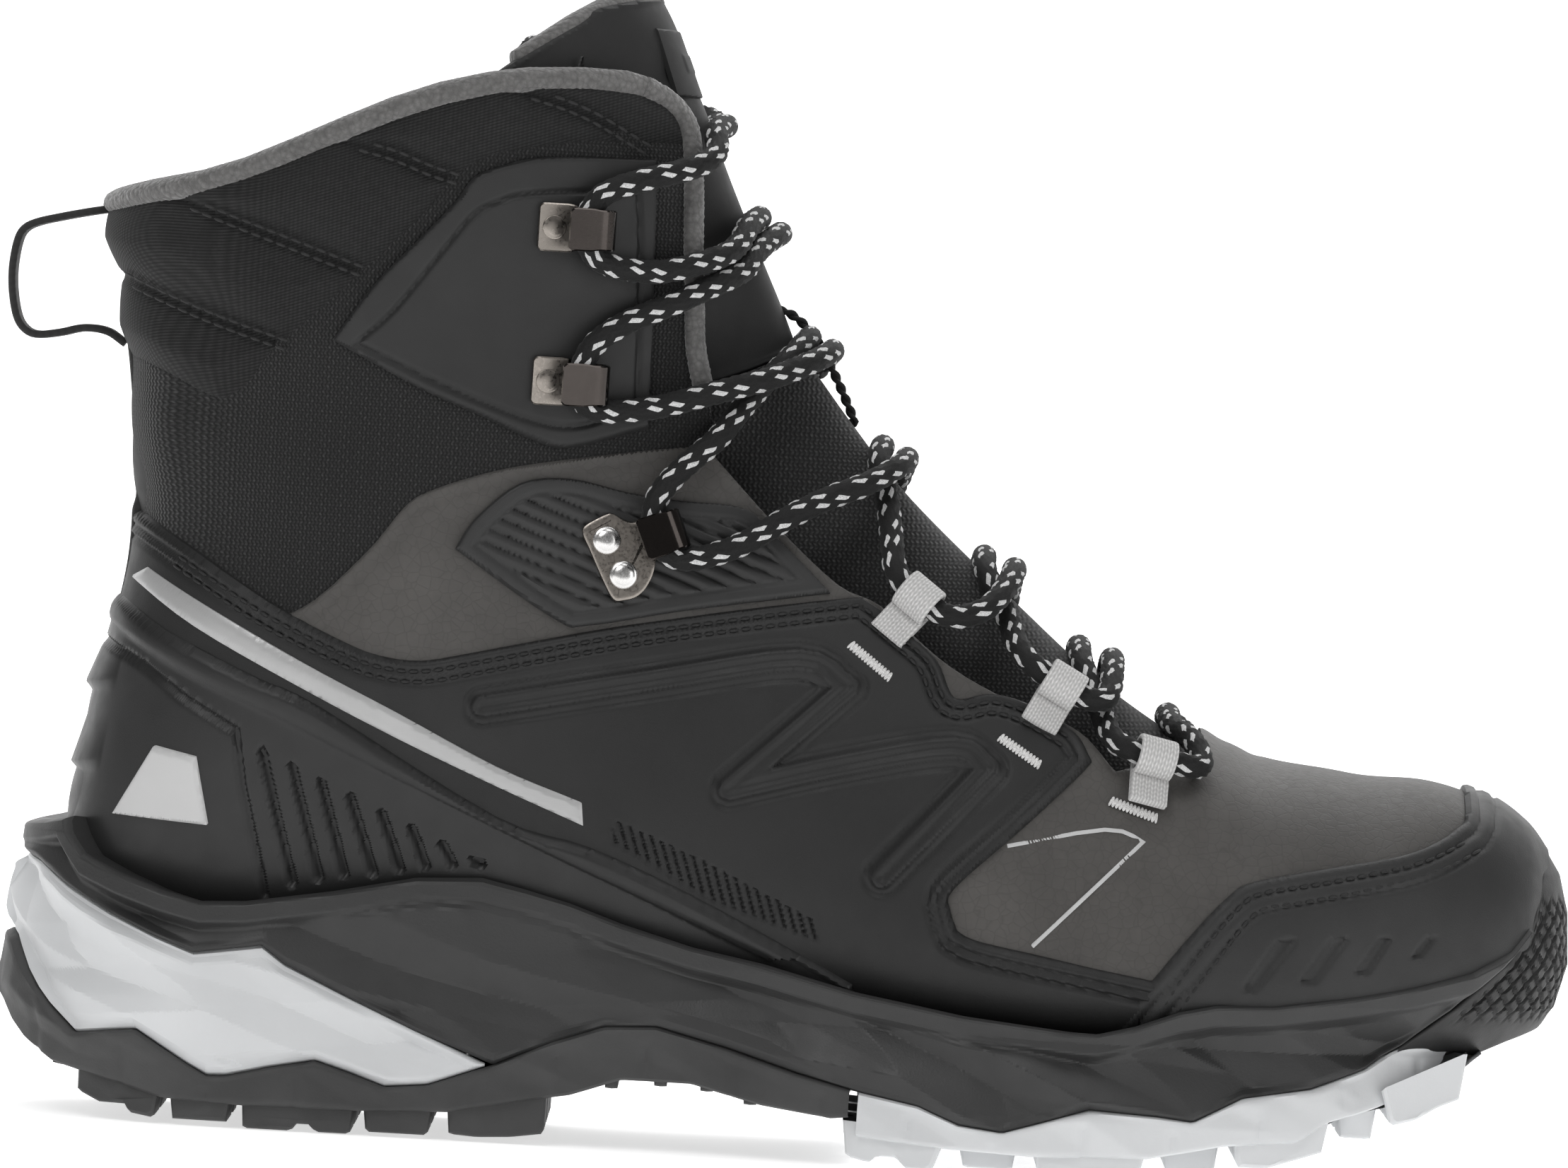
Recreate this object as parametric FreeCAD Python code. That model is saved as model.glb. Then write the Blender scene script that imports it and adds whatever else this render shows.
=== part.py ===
"""Right hiking boot: lofted upper in layers, moulded sole, tongue, lace and hardware.

Toe towards +X, lateral side towards -Y, sole on z = 0. Lengths in millimetres.
"""

import math
import os

import FreeCAD
import Part

Vec = FreeCAD.Vector

# Driving dimensions
HEEL_TO_CENTRE = 150.1   # the outlines count x from the back of the sole
LACE_D = 4.5
WEB_T = 1.25             # pull loop webbing
LEATHER_T = 2.0
OVERLAY_T = 1.4
GAP = 0.1                # between glued layers
SEAM = 0.15              # between neighbours in one layer
PUFF_OUT = 1.5           # collar foam stands proud of the leather
CAGE_T = 3.2
WIDE = 90.0              # wider than the boot

# Body stations from the toe, over the heel, to the collar:
# front point, back point, centre y, half width, widest share from the back,
# front power, back power, share of an offset that goes forward
STATIONS = (
    (300.5, 66.0, 300.5, 43.0, 7.5, 14.0, 0.50, 2.2, 2.4, 1.0),
    (296.5, 71.3, 296.5, 37.0, 6.8, 25.0, 0.45, 2.2, 2.6, 0.7),
    (289.0, 76.3, 289.0, 32.5, 5.5, 34.0, 0.42, 2.2, 2.8, 0.35),
    (277.0, 79.3, 277.0, 29.0, 3.5, 42.0, 0.40, 2.2, 3.0, 0.1),
    (261.0, 80.2, 261.0, 25.5, 1.6, 47.6, 0.38, 2.2, 3.0, 0.0),
    (240.0, 84.0, 240.0, 22.5, 0.0, 50.3, 0.36, 2.2, 3.0, 0.0),
    (216.0, 97.0, 214.0, 21.5, -0.6, 48.6, 0.35, 2.2, 3.0, 0.0),
    (194.0, 115.0, 184.0, 22.5, -1.2, 44.5, 0.34, 2.2, 3.0, 0.0),
    (174.0, 133.0, 148.0, 25.5, -1.5, 38.5, 0.36, 2.2, 3.0, 0.0),
    (163.0, 146.0, 108.0, 30.0, -1.0, 35.5, 0.40, 2.2, 3.0, 0.0),
    (155.5, 156.0, 70.0, 31.5, 0.0, 35.5, 0.46, 2.2, 3.0, 0.0),
    (150.5, 164.0, 36.0, 30.5, 0.5, 36.5, 0.50, 2.2, 2.9, 0.0),
    (147.0, 171.0, 14.5, 42.0, 0.5, 37.5, 0.52, 2.2, 2.6, 0.0),
    (143.5, 178.5, 15.5, 78.0, 0.3, 38.5, 0.54, 2.2, 2.4, 0.0),
    (140.0, 186.0, 21.5, 112.0, 0.0, 39.5, 0.54, 2.2, 2.2, 0.0),
    (136.0, 195.0, 19.0, 146.0, 0.0, 41.5, 0.52, 2.2, 2.2, 0.0),
    (131.0, 207.0, 12.5, 178.0, 0.0, 44.0, 0.50, 2.2, 2.2, 0.0),
    (123.0, 226.0, 9.5, 212.0, 0.0, 45.0, 0.50, 2.2, 2.2, 0.0),
)
LAST = len(STATIONS) - 1
RING = 32                # points round a section
TONGUE_FRONT = -4.6      # tongue face under the leather at the instep
TONGUE_SIDE = -10.5      # and at its wings
TONGUE_POWER = 2.2
TONGUE_T = 4.5


def station(u):
    """Catmull-Rom station at a fractional index."""
    i = min(int(u), LAST - 1)
    t = u - i
    rows = [STATIONS[min(max(k, 0), LAST)] for k in (i - 1, i, i + 1, i + 2)]
    out = []
    for a, b, c, d in zip(*rows):
        out.append(0.5 * (2 * b + (c - a) * t + (2 * a - 5 * b + 4 * c - d) * t * t
                          + (3 * b - a - 3 * c + d) * t ** 3))
    return out


def section(row, grow, side=None, power=None):
    """Front point, back point, centre, half width and shape of a section grown by an offset."""
    fx, fz, bx, bz, mid, wide, share, p_front, p_back, nose = row
    dx, dz = bx - fx, bz - fz
    length = math.hypot(dx, dz)
    dx, dz = dx / length, dz / length
    front = (fx + nose * grow - dx * grow, fz - dz * grow)
    back = (bx + nose * grow + dx * grow, bz + dz * grow)
    half = wide + (grow if side is None else side)
    return front, back, mid, half, share, power or p_front, p_back


def on_section(sec, angle):
    """Point of a section: angle 0 at the front, 90 degrees on the medial side."""
    front, back, mid, half, share, p_front, p_back = sec
    c, s = math.cos(angle), math.sin(angle)
    power = p_front if c >= 0 else p_back
    end = front if c >= 0 else back
    reach = abs(c) ** (2 / power)
    ex = back[0] + (front[0] - back[0]) * share
    ez = back[1] + (front[1] - back[1]) * share
    y = mid + math.copysign(half * abs(s) ** (2 / power), s)
    return Vec(ex + (end[0] - ex) * reach, y, ez + (end[1] - ez) * reach)


def side_y(x, z, grow=0.0, medial=False, side=None, power=None):
    """y of the grown body at a point of its side view."""
    best = None
    steps = 40 * LAST
    last = None
    for k in range(steps + 1):
        u = LAST * k / steps
        sec = section(station(u), grow, side, power)
        (fx, fz), (bx, bz) = sec[0], sec[1]
        cross = (x - fx) * (bz - fz) - (z - fz) * (bx - fx)
        span = max(1.0, (bx - fx) ** 2 + (bz - fz) ** 2)
        share = ((x - fx) * (bx - fx) + (z - fz) * (bz - fz)) / span
        if last is not None and cross * last <= 0 and -0.1 <= share <= 1.1:
            best = sec, share
            break
        last = cross
    sec, share = best
    mid, half, widest, p_front, p_back = sec[2:]
    up = 1.0 - share
    if up >= widest:
        a, power = (up - widest) / (1 - widest), p_front
    else:
        a, power = (widest - up) / widest, p_back
    w = half * max(0.0, 1 - min(1.0, a) ** power) ** (1 / power)
    return mid + (w if medial else -w)


def put(x, z, grow=0.0, medial=False):
    return Vec(x, side_y(x, z, grow, medial), z)


def knots():
    """One parameter per point of a ring, shared by every ring so that their lofts stay light."""
    total = [0.0] * RING
    for row in STATIONS:
        sec = section(row, 0.0)
        points = [on_section(sec, 2 * math.pi * k / RING) for k in range(RING + 1)]
        chords = [(b - a).Length for a, b in zip(points, points[1:])]
        total = [t + c / sum(chords) for t, c in zip(total, chords)]
    at = [0.0]
    for step in total:
        at.append(at[-1] + step / len(STATIONS))
    return at


KNOTS = knots()


def rings(grow, first=0, end=LAST, side=None, power=None):
    wires = []
    for row in STATIONS[first:end + 1]:
        sec = section(row, grow, side, power)
        points = [on_section(sec, 2 * math.pi * k / RING) for k in range(RING)]
        curve = Part.BSplineCurve()
        curve.interpolate(Points=points, PeriodicFlag=True, Parameters=KNOTS)
        wires.append(Part.Wire(curve.toShape()))
    return wires


def solid(grow):
    return Part.makeLoft(rings(grow), True, False)


def ring_face(outer, inner):
    return Part.Face(outer).cut(Part.Face(inner)).Faces[0]


def between(inner, outer, open_toe):
    """Solid wall between two sets of rings, closed at the toe unless it starts further back."""
    skin = Part.makeLoft(outer, False, False).Faces
    core = Part.makeLoft(inner, False, False).Faces
    ends = [ring_face(outer[-1], inner[-1])]
    if open_toe:
        ends.append(ring_face(outer[0], inner[0]))
    else:
        ends += [Part.Face(outer[0]), Part.Face(inner[0])]
    shell = Part.Shell(skin + core + ends)
    shell.sewShape()
    shell.fix(0.01, 0.001, 0.1)
    wall = Part.makeSolid(shell)
    wall.fix(0.01, 0.001, 0.1)
    return wall


CACHE = {}


def layer(low, high):
    """Wall of the upper between two offsets, over its whole length so that neighbours match."""
    if (low, high) not in CACHE:
        CACHE[low, high] = between(rings(low), rings(high), False)
    return CACHE[low, high]


def prism(outline, y0=-WIDE, y1=WIDE):
    points = [Vec(x, y0, z) for x, z in outline]
    face = Part.Face(Part.makePolygon(points + points[:1]))
    return face.extrude(Vec(0, y1 - y0, 0))


def plate(outline, z0, z1):
    points = [Vec(x, y, z0) for x, y in outline]
    face = Part.Face(Part.makePolygon(points + points[:1]))
    return face.extrude(Vec(0, 0, z1 - z0))


def smooth_plate(outline, z0, z1):
    curve = Part.BSplineCurve()
    curve.interpolate(Points=[Vec(x, y, z0) for x, y in outline], PeriodicFlag=True)
    return Part.Face(Part.Wire(curve.toShape())).extrude(Vec(0, 0, z1 - z0))


def shift(points, dx, dz):
    return [(x + dx, z + dz) for x, z in points]


def back(points, rise):
    """A line moved up by rise and walked backwards."""
    return tuple(reversed(shift(points, 0, rise)))


def frame_at(x, z, grow, medial, lean):
    """Origin on the side, forward-leaning tangent, cross tangent and outward normal."""
    step = 1.5
    p = put(x, z, grow, medial)
    ax, az = math.cos(lean), math.sin(lean)
    t = put(x + step * ax, z + step * az, grow, medial) - put(x - step * ax, z - step * az, grow, medial)
    b = put(x - step * az, z + step * ax, grow, medial) - put(x + step * az, z - step * ax, grow, medial)
    t.normalize()
    n = t.cross(b)
    n.normalize()
    if (n.y < 0) == medial:
        n = -n
    b = n.cross(t)
    b.normalize()
    return p, t, b, n


def place(shape, p, t, b, n):
    """Local x, y, z to the frame's tangent, cross tangent and normal."""
    m = FreeCAD.Matrix(t.x, b.x, n.x, p.x, t.y, b.y, n.y, p.y, t.z, b.z, n.z, p.z, 0, 0, 0, 1)
    return shape.transformGeometry(m)


PARTS = {}


def keep(name, shape):
    PARTS[name] = shape


def both(name, outline, low, high):
    """The same cut-out on the lateral and the medial side."""
    body = layer(low, high)
    keep(name + "_lateral", body.common(prism(outline, -WIDE, -SEAM / 2)))
    keep(name + "_medial", body.common(prism(outline, SEAM / 2, WIDE)))


# Side-view outlines, x from the back of the sole, z from the ground
SOLE_PLAN = (
    (0, 0), (3, -14), (12, -27), (28, -36.5), (50, -39), (80, -38), (110, -38), (140, -41),
    (165, -46), (190, -51.5), (212, -54), (235, -53), (258, -48), (278, -39), (292, -26.5),
    (303, -9), (306.7, 7), (303.5, 22), (294, 35), (280, 45.5), (260, 52), (238, 54), (215, 51.5),
    (190, 46.5), (165, 41), (140, 38), (110, 37), (80, 38), (50, 39), (28, 36.5), (12, 27), (3, 14),
)
MID_PLAN = [(2.6 + (x - 2.6) * 0.985 + 1.3, y * 0.975) for x, y in SOLE_PLAN]

LIP = ((4.4, 52.1), (4.5, 54.7), (6.0, 57.0), (8.5, 58.1), (9.2, 56.6))
MID_TOP = (
    (14.6, 51.1), (22.5, 48.1), (31.6, 45.4), (39.4, 43.7), (48.3, 44.2), (65.3, 47.1), (81.1, 50.6),
    (93.8, 51.3), (102.0, 49.6), (110.9, 47.4), (121.2, 44.0), (134.9, 40.4), (148.5, 38.1),
    (166.6, 33.8), (187.0, 30.7), (208.7, 28.9), (214.1, 28.8), (221.7, 30.8), (230.0, 34.0),
    (236.8, 35.6), (248.3, 36.2), (263.6, 38.7), (275.0, 40.9), (286.4, 43.9), (293.8, 48.2),
    (297.6, 52.8),
)
INSERT_TOP = (
    (3.9, 48.9), (11.2, 44.9), (21.0, 40.3), (30.8, 36.4), (38.7, 33.7), (45.0, 34.7), (52.0, 35.8),
    (56.6, 32.5), (69.7, 26.6), (82.8, 21.0), (96.6, 15.4),
)
INSERT_LOW = (
    (1.6, 33.5), (5.5, 27.3), (10.7, 21.2), (16.0, 16.4), (22.4, 17.4), (28.1, 18.1), (38.7, 12.0),
    (42.6, 10.0), (46.4, 10.2), (54.6, 12.3), (63.5, 14.1), (70.6, 12.0), (77.1, 9.8), (85.4, 10.6),
    (96.6, 14.9),
)
MID_LOW = (
    (97.9, 15.3), (109.1, 20.3), (119.0, 23.9), (129.1, 24.5), (142.8, 21.3), (156.5, 17.4),
    (168.1, 14.7), (180.3, 12.7), (188.3, 9.6), (196.8, 8.7), (203.6, 10.9), (213.4, 14.2),
    (226.5, 13.6), (233.5, 12.9), (243.2, 17.9), (256.9, 20.2), (268.3, 24.3), (275.7, 29.0),
    (283.0, 36.0), (288.8, 41.7), (293.9, 47.0), (298.3, 52.3),
)
HEEL_BACK = ((1.5, 33.1), (-0.1, 24.4), (3.2, 16.9), (6.0, 13.9), (11.3, 10.4), (17.4, 9.0))
HEEL_BASE = ((34.0, 4.6), (50.0, 3.9), (71.1, 4.3), (89.5, 5.4), (113.1, 10.1), (123.0, 13.7),
             (136.5, 13.8), (150.1, 10.6), (163.7, 8.7), (167.0, 10.2), (168.1, 14.5))
HEEL_LUGS = (
    ((17.4, 10), (17.5, 5.3), (21.9, 3.4), (27.6, 3.4), (28.1, 1.8), (32.9, 1.1), (34, 6)),
    ((49.7, 6), (50.2, 0), (71.0, 0), (71.7, 6)),
    ((89.4, 7), (90.1, 1.3), (95.5, 1), (102.1, 1.4), (108.5, 2.4), (108.6, 10)),
)
FORE_BASE = ((161.0, 8.5), (167.0, 6.0), (186.2, 4.6), (203.2, 4.3), (225.1, 5.2), (239.9, 8.4),
             (253.9, 9.6), (260.4, 13.9), (269.9, 16.9), (281.0, 21.0), (289.6, 27.9))
FORE_LUGS = (
    ((166.2, 8), (167.1, 2.2), (171.6, 1.1), (172.9, 2.5), (177.0, 2.5), (179.1, 0), (183.8, 0), (186.2, 6)),
    ((203.4, 6), (204.6, 0), (210.0, 0), (210.7, 1.6), (215.3, 1.6), (217.7, 0), (223.4, 1), (225.1, 7)),
    ((241.5, 10), (242.5, 4.7), (247.9, 4.6), (254.0, 6.6), (258.8, 8.2), (260.4, 15)),
    ((269.9, 18.5), (272.0, 13.8), (276.9, 15), (281.3, 17.6), (285.5, 19.2), (286.7, 26)),
)
LUG_ROWS = ((-60, -17), (-12, 12), (17, 60))
BUMPER = ((275.0, 27.8), (290.4, 28.3), (295.1, 26.8), (299.8, 30.8), (304.5, 36.5), (306.7, 45.1),
          (306.1, 55.0), (304.1, 62.6), (301.2, 67.1), (299.8, 68.1), (300.1, 62.4), (298.3, 52.9),
          (294.1, 47.2), (289.0, 41.5), (283.2, 35.8))

L1 = ((14.0, 101.0), (18.1, 100.6), (28.0, 95.0), (36.3, 91.4), (47.8, 86.8), (60.5, 82.0), (95.2, 62.7),
      (113.7, 57.7), (134.4, 49.4), (155.2, 39.5), (166.3, 33.8))
QUARTER_TOP = ((132.3, 137.7), (121.1, 136.2), (111.3, 134.5), (96.7, 131.6), (88.0, 129.1), (79.3, 125.7),
               (74.6, 122.4), (67.3, 112.7), (54.7, 100.9), (40.0, 99.0), (20.0, 106.0), (2.0, 110.0))
THROAT = ((134.6, 135.3), (138.0, 131.8), (147.6, 122.3), (159.4, 112.3), (167.9, 108.7), (179.7, 99.3),
          (190.7, 93.3), (204.0, 88.5))
COLLAR_LOW = ((0.0, 151.0), (18.2, 147.2), (25.0, 144.7), (36.1, 140.4), (39.1, 140.6), (43.8, 144.3),
              (47.4, 149.9), (60.4, 162.5), (74.3, 177.1), (80.8, 185.3), (84.5, 188.5), (89.3, 190.8),
              (98.0, 192.8), (107.8, 194.3), (125.3, 194.8))
COLLAR_EDGE = ((14.3, 177.0), (23.1, 178.5), (34.7, 182.1), (45.3, 185.7), (53.9, 189.7), (63.5, 193.7),
               (73.1, 198.2), (82.8, 201.7), (92.5, 203.8), (102.2, 205.3), (112.1, 205.4), (117.0, 204.7),
               (121.1, 203.5), (124.2, 199.7))
COLLAR_TOP = ((8.0, 178.3), (14.5, 181.0), (19.9, 182.6), (29.6, 184.1), (39.3, 186.8), (48.9, 191.3),
              (58.4, 196.3), (68.0, 200.8), (77.7, 204.4), (87.4, 206.9), (95.2, 208.3), (105.0, 208.4),
              (114.9, 208.0), (119.9, 206.8), (125.0, 203.2), (127.2, 199.9), (128.4, 195.0))
EDGE_FRONT = ((129.0, 185.2), (129.1, 175.4), (129.7, 165.6), (129.9, 156.7))
MESH_FRONT = ((131.4, 152.2), (132.8, 145.4), (133.6, 140.6))
OVERLAY_TOP = ((4.0, 124.0), (20.9, 117.2), (31.8, 111.6), (40.7, 106.5), (51.3, 100.7), (64.4, 95.1),
               (71.4, 93.0), (79.3, 92.5), (89.0, 94.6), (111.6, 100.2), (130.0, 104.2), (160.6, 109.8),
               (165.2, 109.6), (172.4, 104.7), (179.1, 99.3), (182.2, 93.0), (184.4, 91.8), (190.1, 93.2),
               (197.1, 91.8), (206.5, 87.0), (210.3, 81.4), (207.0, 77.5), (197.0, 66.8), (185.0, 54.6),
               (184.5, 50.2), (186.1, 46.0), (191.6, 44.1), (213.4, 40.6), (222.4, 39.0), (217.4, 31.2))
TOE_CAP = ((217.9, 29.8), (222.8, 37.1), (232.1, 49.9), (237.9, 56.8), (242.3, 59.8), (254.4, 62.8),
           (269.7, 66.0), (277.2, 68.7), (282.4, 72.1), (284.5, 75.3), (284.0, 90.0))
PATCH = ((58.5, 153.5), (66.2, 164.8), (74.5, 174.1), (81.0, 181.4), (84.6, 186.6), (89.5, 189.0),
         (98.3, 191.4), (119.9, 192.4), (120.6, 174.9), (121.3, 140.5), (106.3, 135.8), (99.4, 136.7),
         (89.3, 140.5), (76.2, 145.2))
HOOK_PATCH = ((84.9, 114.7), (88.5, 120.8), (96.9, 128.2), (106.7, 129.7), (118.0, 127.7), (128.7, 126.7),
              (140.6, 126.0), (147.6, 120.4), (158.0, 110.8), (130.0, 105.4), (111.6, 101.4), (105.0, 102.2))
STRIPE = ((21.0, 105.0), (34.8, 96.4), (55.1, 86.6), (75.3, 77.4), (95.5, 69.0), (112.6, 62.4),
          (112.1, 66.9), (95.2, 72.8), (75.0, 82.4), (54.8, 91.6), (34.5, 101.7), (24.3, 107.0))
BADGE = ((20.5, 58.8), (28.0, 72.5), (36.5, 71.0), (39.5, 58.0))
# Tongue in side view: rear edges of the lateral and the medial wing
TONGUE_TOP = ((160.0, 234.0), (112.0, 223.2), (104.0, 218.6), (87.6, 207.5))
WING_LATERAL = ((86.0, 203.0), (100.0, 186.0), (110.0, 168.0), (116.0, 150.0), (126.0, 132.0),
                (142.0, 116.0), (160.0, 102.0), (182.0, 88.0), (204.0, 76.0), (222.0, 68.0))
WING_MEDIAL = ((113.0, 219.0), (111.5, 186.0), (114.0, 168.0), (118.0, 150.0)) + WING_LATERAL[4:]
TONGUE_BASE = ((242.0, 66.0), (242.0, 110.0))
WELL = ((124.0, 131.0), (140.0, 113.0), (158.0, 99.0), (180.0, 85.0), (202.0, 73.0), (220.0, 64.5),
        (245.5, 62.0), (245.5, 120.0))


# Sole
def below_top(lift=0.0):
    """Everything under the midsole's upper edge, for trimming the upper's covers."""
    edge = [(x, z + lift) for x, z in LIP + MID_TOP]
    return prism([(-20, 0), (-20, 57 + lift)] + edge + [(330, 68 + lift), (330, 0)])


grown = solid(1.7)
ground_plan = smooth_plate(SOLE_PLAN, -5, 90)
mid_plan = smooth_plate(MID_PLAN, -5, 90)


def lugs(profiles):
    out = []
    for profile in profiles:
        for y0, y1 in LUG_ROWS:
            out.append(prism(profile, y0, y1))
    return out


heel = prism(HEEL_BACK + HEEL_BASE + back(MID_LOW[:6], -GAP)
             + back(INSERT_LOW, -GAP))
heel = heel.multiFuse(lugs(HEEL_LUGS)).common(ground_plan)
forefoot = prism(((168.3, 14.5),) + FORE_BASE[1:]
                 + back(MID_LOW[7:18], -GAP))
forefoot = forefoot.multiFuse(lugs(FORE_LUGS)).common(ground_plan)
forefoot = forefoot.cut(prism([(150, -2), (150, 30), (168.3, 30), (167.2, 9.5), (164.0, -2)]))
bumper = prism(BUMPER).common(ground_plan).cut(grown)
forefoot = forefoot.cut(prism(shift(BUMPER[:2], -0.2, -SEAM) + [(320, 26), (320, 90), (274.8, 60)]))
shank_line = ((62.0, 27.2), (100.0, 26.4), (140.0, 21.9), (178.0, 18.6))
shank = prism(shank_line + tuple(reversed(shift(shank_line, 0, 1.4))), -14, 14)
shank_pocket = prism(shift(shank_line, 0, -GAP) + list(reversed(shift(shank_line, 0, 1.4 + GAP))),
                     -14.1, 14.1)
midsole = prism(LIP + MID_TOP + tuple(reversed(MID_LOW)) + tuple(reversed(INSERT_TOP)))
midsole = midsole.common(mid_plan).cut(grown).cut(shank_pocket)
insert = prism(shift(INSERT_TOP, 0, -GAP) + list(reversed(INSERT_LOW))).common(ground_plan)
insert = insert.cut(grown).cut(shank_pocket)
heel = heel.cut(shank_pocket)
keep("outsole_heel", heel)
keep("outsole_forefoot", forefoot)
keep("outsole_toe_bumper", bumper)
keep("midsole", midsole)
keep("heel_insert", insert)
keep("shank", shank)

# Bottom of the upper, footbed
board_top = ((8, 45), (36, 38.5), (70, 38.5), (108, 37), (148, 32.5), (184, 29.5), (214, 28.5), (240, 29.5),
             (261, 32.5), (277, 36.5), (289, 41), (296, 45), (310, 52))
board_trim = prism(board_top + ((310, 0), (8, 0)))
keep("lasting_board", layer(-LEATHER_T, 0.0).common(board_trim))
above_board = prism([(x, z + SEAM) for x, z in board_top]
                    + [(320, 52.2), (320, 240), (-20, 240), (-20, 45.2)])
bed_low = ((22, 41), (36, 36.8), (70, 37.6), (108, 36.2), (148, 31.6), (184, 28.7), (214, 27.8), (240, 28.7),
           (261, 31.7), (276, 35.6))
bed = prism(bed_low + tuple(reversed(shift(bed_low, 0, 5.0))))
keep("footbed", bed.common(solid(-7.6)))

# Outer skin of the upper
vamp_edge = ((233.0, 100.0), (231.5, 84.0), (214.9, 79.5), (209.2, 85.6), (204.2, 88.5), (185.2, 60.0),
             (180.2, 20.0))
vamp = layer(-LEATHER_T, 0.0).common(prism(vamp_edge + ((330, 20), (330, 100)))).common(above_board)
keep("vamp", vamp)
quarter = QUARTER_TOP + ((2, 20), (180, 20), (185, 60)) + tuple(reversed(THROAT))
quarter_body = layer(-LEATHER_T, 0.0).common(above_board)
keep("quarter_leather_lateral", quarter_body.common(prism(quarter, -WIDE, -SEAM / 2)))
keep("quarter_leather_medial", quarter_body.common(prism(quarter, SEAM / 2, WIDE)))
mesh = tuple(shift(QUARTER_TOP, 0, SEAM)) + COLLAR_LOW + EDGE_FRONT[1:] + MESH_FRONT
keep("ankle_mesh", layer(-LEATHER_T, 0.0).common(prism(mesh)))
both("quarter_overlay", OVERLAY_TOP + back(MID_TOP[14:17], SEAM) + back(L1, SEAM)
     + ((0, 101.2),), GAP, GAP + OVERLAY_T)
toe_region = TOE_CAP + ((330, 90), (330, 53.5)) + back(MID_TOP[17:], SEAM)
keep("toe_cap", layer(GAP, GAP + OVERLAY_T).common(prism(toe_region)))
cage_region = L1 + back(MID_TOP[:13], SEAM) + ((9.2, 56.8), (8.5, 58.3), (0, 58.3), (0, 101))
keep("heel_cage", layer(GAP, GAP + CAGE_T).common(prism(cage_region)))
both("heel_badge", BADGE, 2 * GAP + CAGE_T, 1.0 + CAGE_T)
both("reflective_stripe", STRIPE, 2.5 * GAP + OVERLAY_T, 0.6 + OVERLAY_T)
both("ankle_patch", PATCH, GAP, 1.3)
both("hook_patch", HOOK_PATCH, GAP, 1.5)

# Stiffeners, padding and linings
keep("toe_puff", layer(-4.0, -2.1).common(prism(((258, 40), (258, 90), (330, 90), (330, 40)))))
keep("heel_counter", layer(-4.0, -2.1).common(
    prism(((0, 41), (0, 98), (30, 96), (60, 82), (84, 60), (92, 41)))))
bootie = layer(-5.4, -4.1).common(prism(((330, 10), (330, 120), (245.5, 120)) + tuple(reversed(WELL[:7]))
                                        + ((100, 98), (0, 98), (0, 10))))
keep("bootie_lining", bootie)
padding = COLLAR_LOW[:13] + ((112, 194.5),) + ((112, 140), (112, 115.2), (100, 98.5), (-5, 98.5))
keep("ankle_padding", layer(-7.0, -2.1).common(prism(shift(padding[:14], 0, -SEAM) + list(padding[14:]))))
collar_face = tuple(shift(COLLAR_LOW, 0, SEAM)) + ((124.2, 199.5),)
collar_out = layer(-LEATHER_T, PUFF_OUT).common(
    prism(collar_face + back(COLLAR_EDGE, -SEAM) + ((0, 176.8),)))
collar_in = layer(-7.0, -LEATHER_T).common(
    prism(COLLAR_LOW[:13] + ((112, 194.8), (112, 205.2)) + back(COLLAR_EDGE[:11], -SEAM) + ((0, 176.8),)))
keep("collar_pad", collar_out.fuse(collar_in))
lining = prism(((-5, 98.3), (100, 98.3), (112, 113), (104, 205)) + back(COLLAR_EDGE[:10], -SEAM)
               + ((-5, 176.8),))
keep("shaft_lining", layer(-8.2, -7.1).common(lining))
rim = COLLAR_TOP[:11] + ((104.0, 208.4), (104.0, 205.35)) + tuple(reversed(COLLAR_EDGE[:10])) + ((0, 176.8),)
keep("collar_binding", layer(-8.4, 1.8).common(prism(rim)))
edge = ((104.1, 208.4),) + COLLAR_TOP[11:] + EDGE_FRONT + (
    (128.2, 156.6), (127.0, 165.4), (126.2, 175.2), (125.6, 185.0), (125.3, 194.8)) + tuple(
    reversed(COLLAR_EDGE[10:])) + ((104.1, 205.35),)
both("throat_binding", edge, 0.05, 1.8)
wells = shift(THROAT, 0, -2.5) + list(reversed(shift(WELL[:6], 0, -5.0)))
both("gusset", wells, -3.4, -2.4)

# Tongue
def tongue_rings(grow):
    return rings(grow, 4, LAST, TONGUE_SIDE + grow - TONGUE_FRONT, TONGUE_POWER)


def tongue_piece(outer, inner, drop=0.0):
    body = between(tongue_rings(inner), tongue_rings(outer), True)
    top = shift(TONGUE_TOP, 0, -drop)
    lateral = body.common(prism(top + list(WING_LATERAL) + list(TONGUE_BASE), -WIDE, 0))
    medial = body.common(prism(top[:2] + list(WING_MEDIAL) + list(TONGUE_BASE), 0, WIDE))
    return lateral.fuse(medial).removeSplitter()


keep("tongue_pad", tongue_piece(TONGUE_FRONT, TONGUE_FRONT - TONGUE_T, 1.0))
keep("tongue_lining", tongue_piece(TONGUE_FRONT - TONGUE_T - GAP, TONGUE_FRONT - TONGUE_T - 1.2))

tongue_skin = between(tongue_rings(TONGUE_FRONT + GAP), tongue_rings(TONGUE_FRONT + 1.0), True)
keep("tongue_patch", tongue_skin.common(prism(((100, 204), (100, 219), (140, 219), (140, 204)), -13, 13)))
keep("tongue_keeper", tongue_skin.common(prism(((130, 143), (130, 151), (170, 151), (170, 143)), -8, 8)))

# Hooks, rivets and webbing loops
HOOK_T = 1.0
HOOK_BORE = 2.55
HOOK_BEND = 4.0          # bend centre ahead of the hook's origin
HOOK_W = 8.4
NECK_W = 6.4
BASE_GROW = 1.9
TOP_HOOK = (104.1, 177.9, 0.0)
MID_HOOK = (104.6, 148.2, 0.0)
LOCK_HOOK = (121.7, 118.3, math.radians(22.5))
RIVET_R = 2.6


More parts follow.
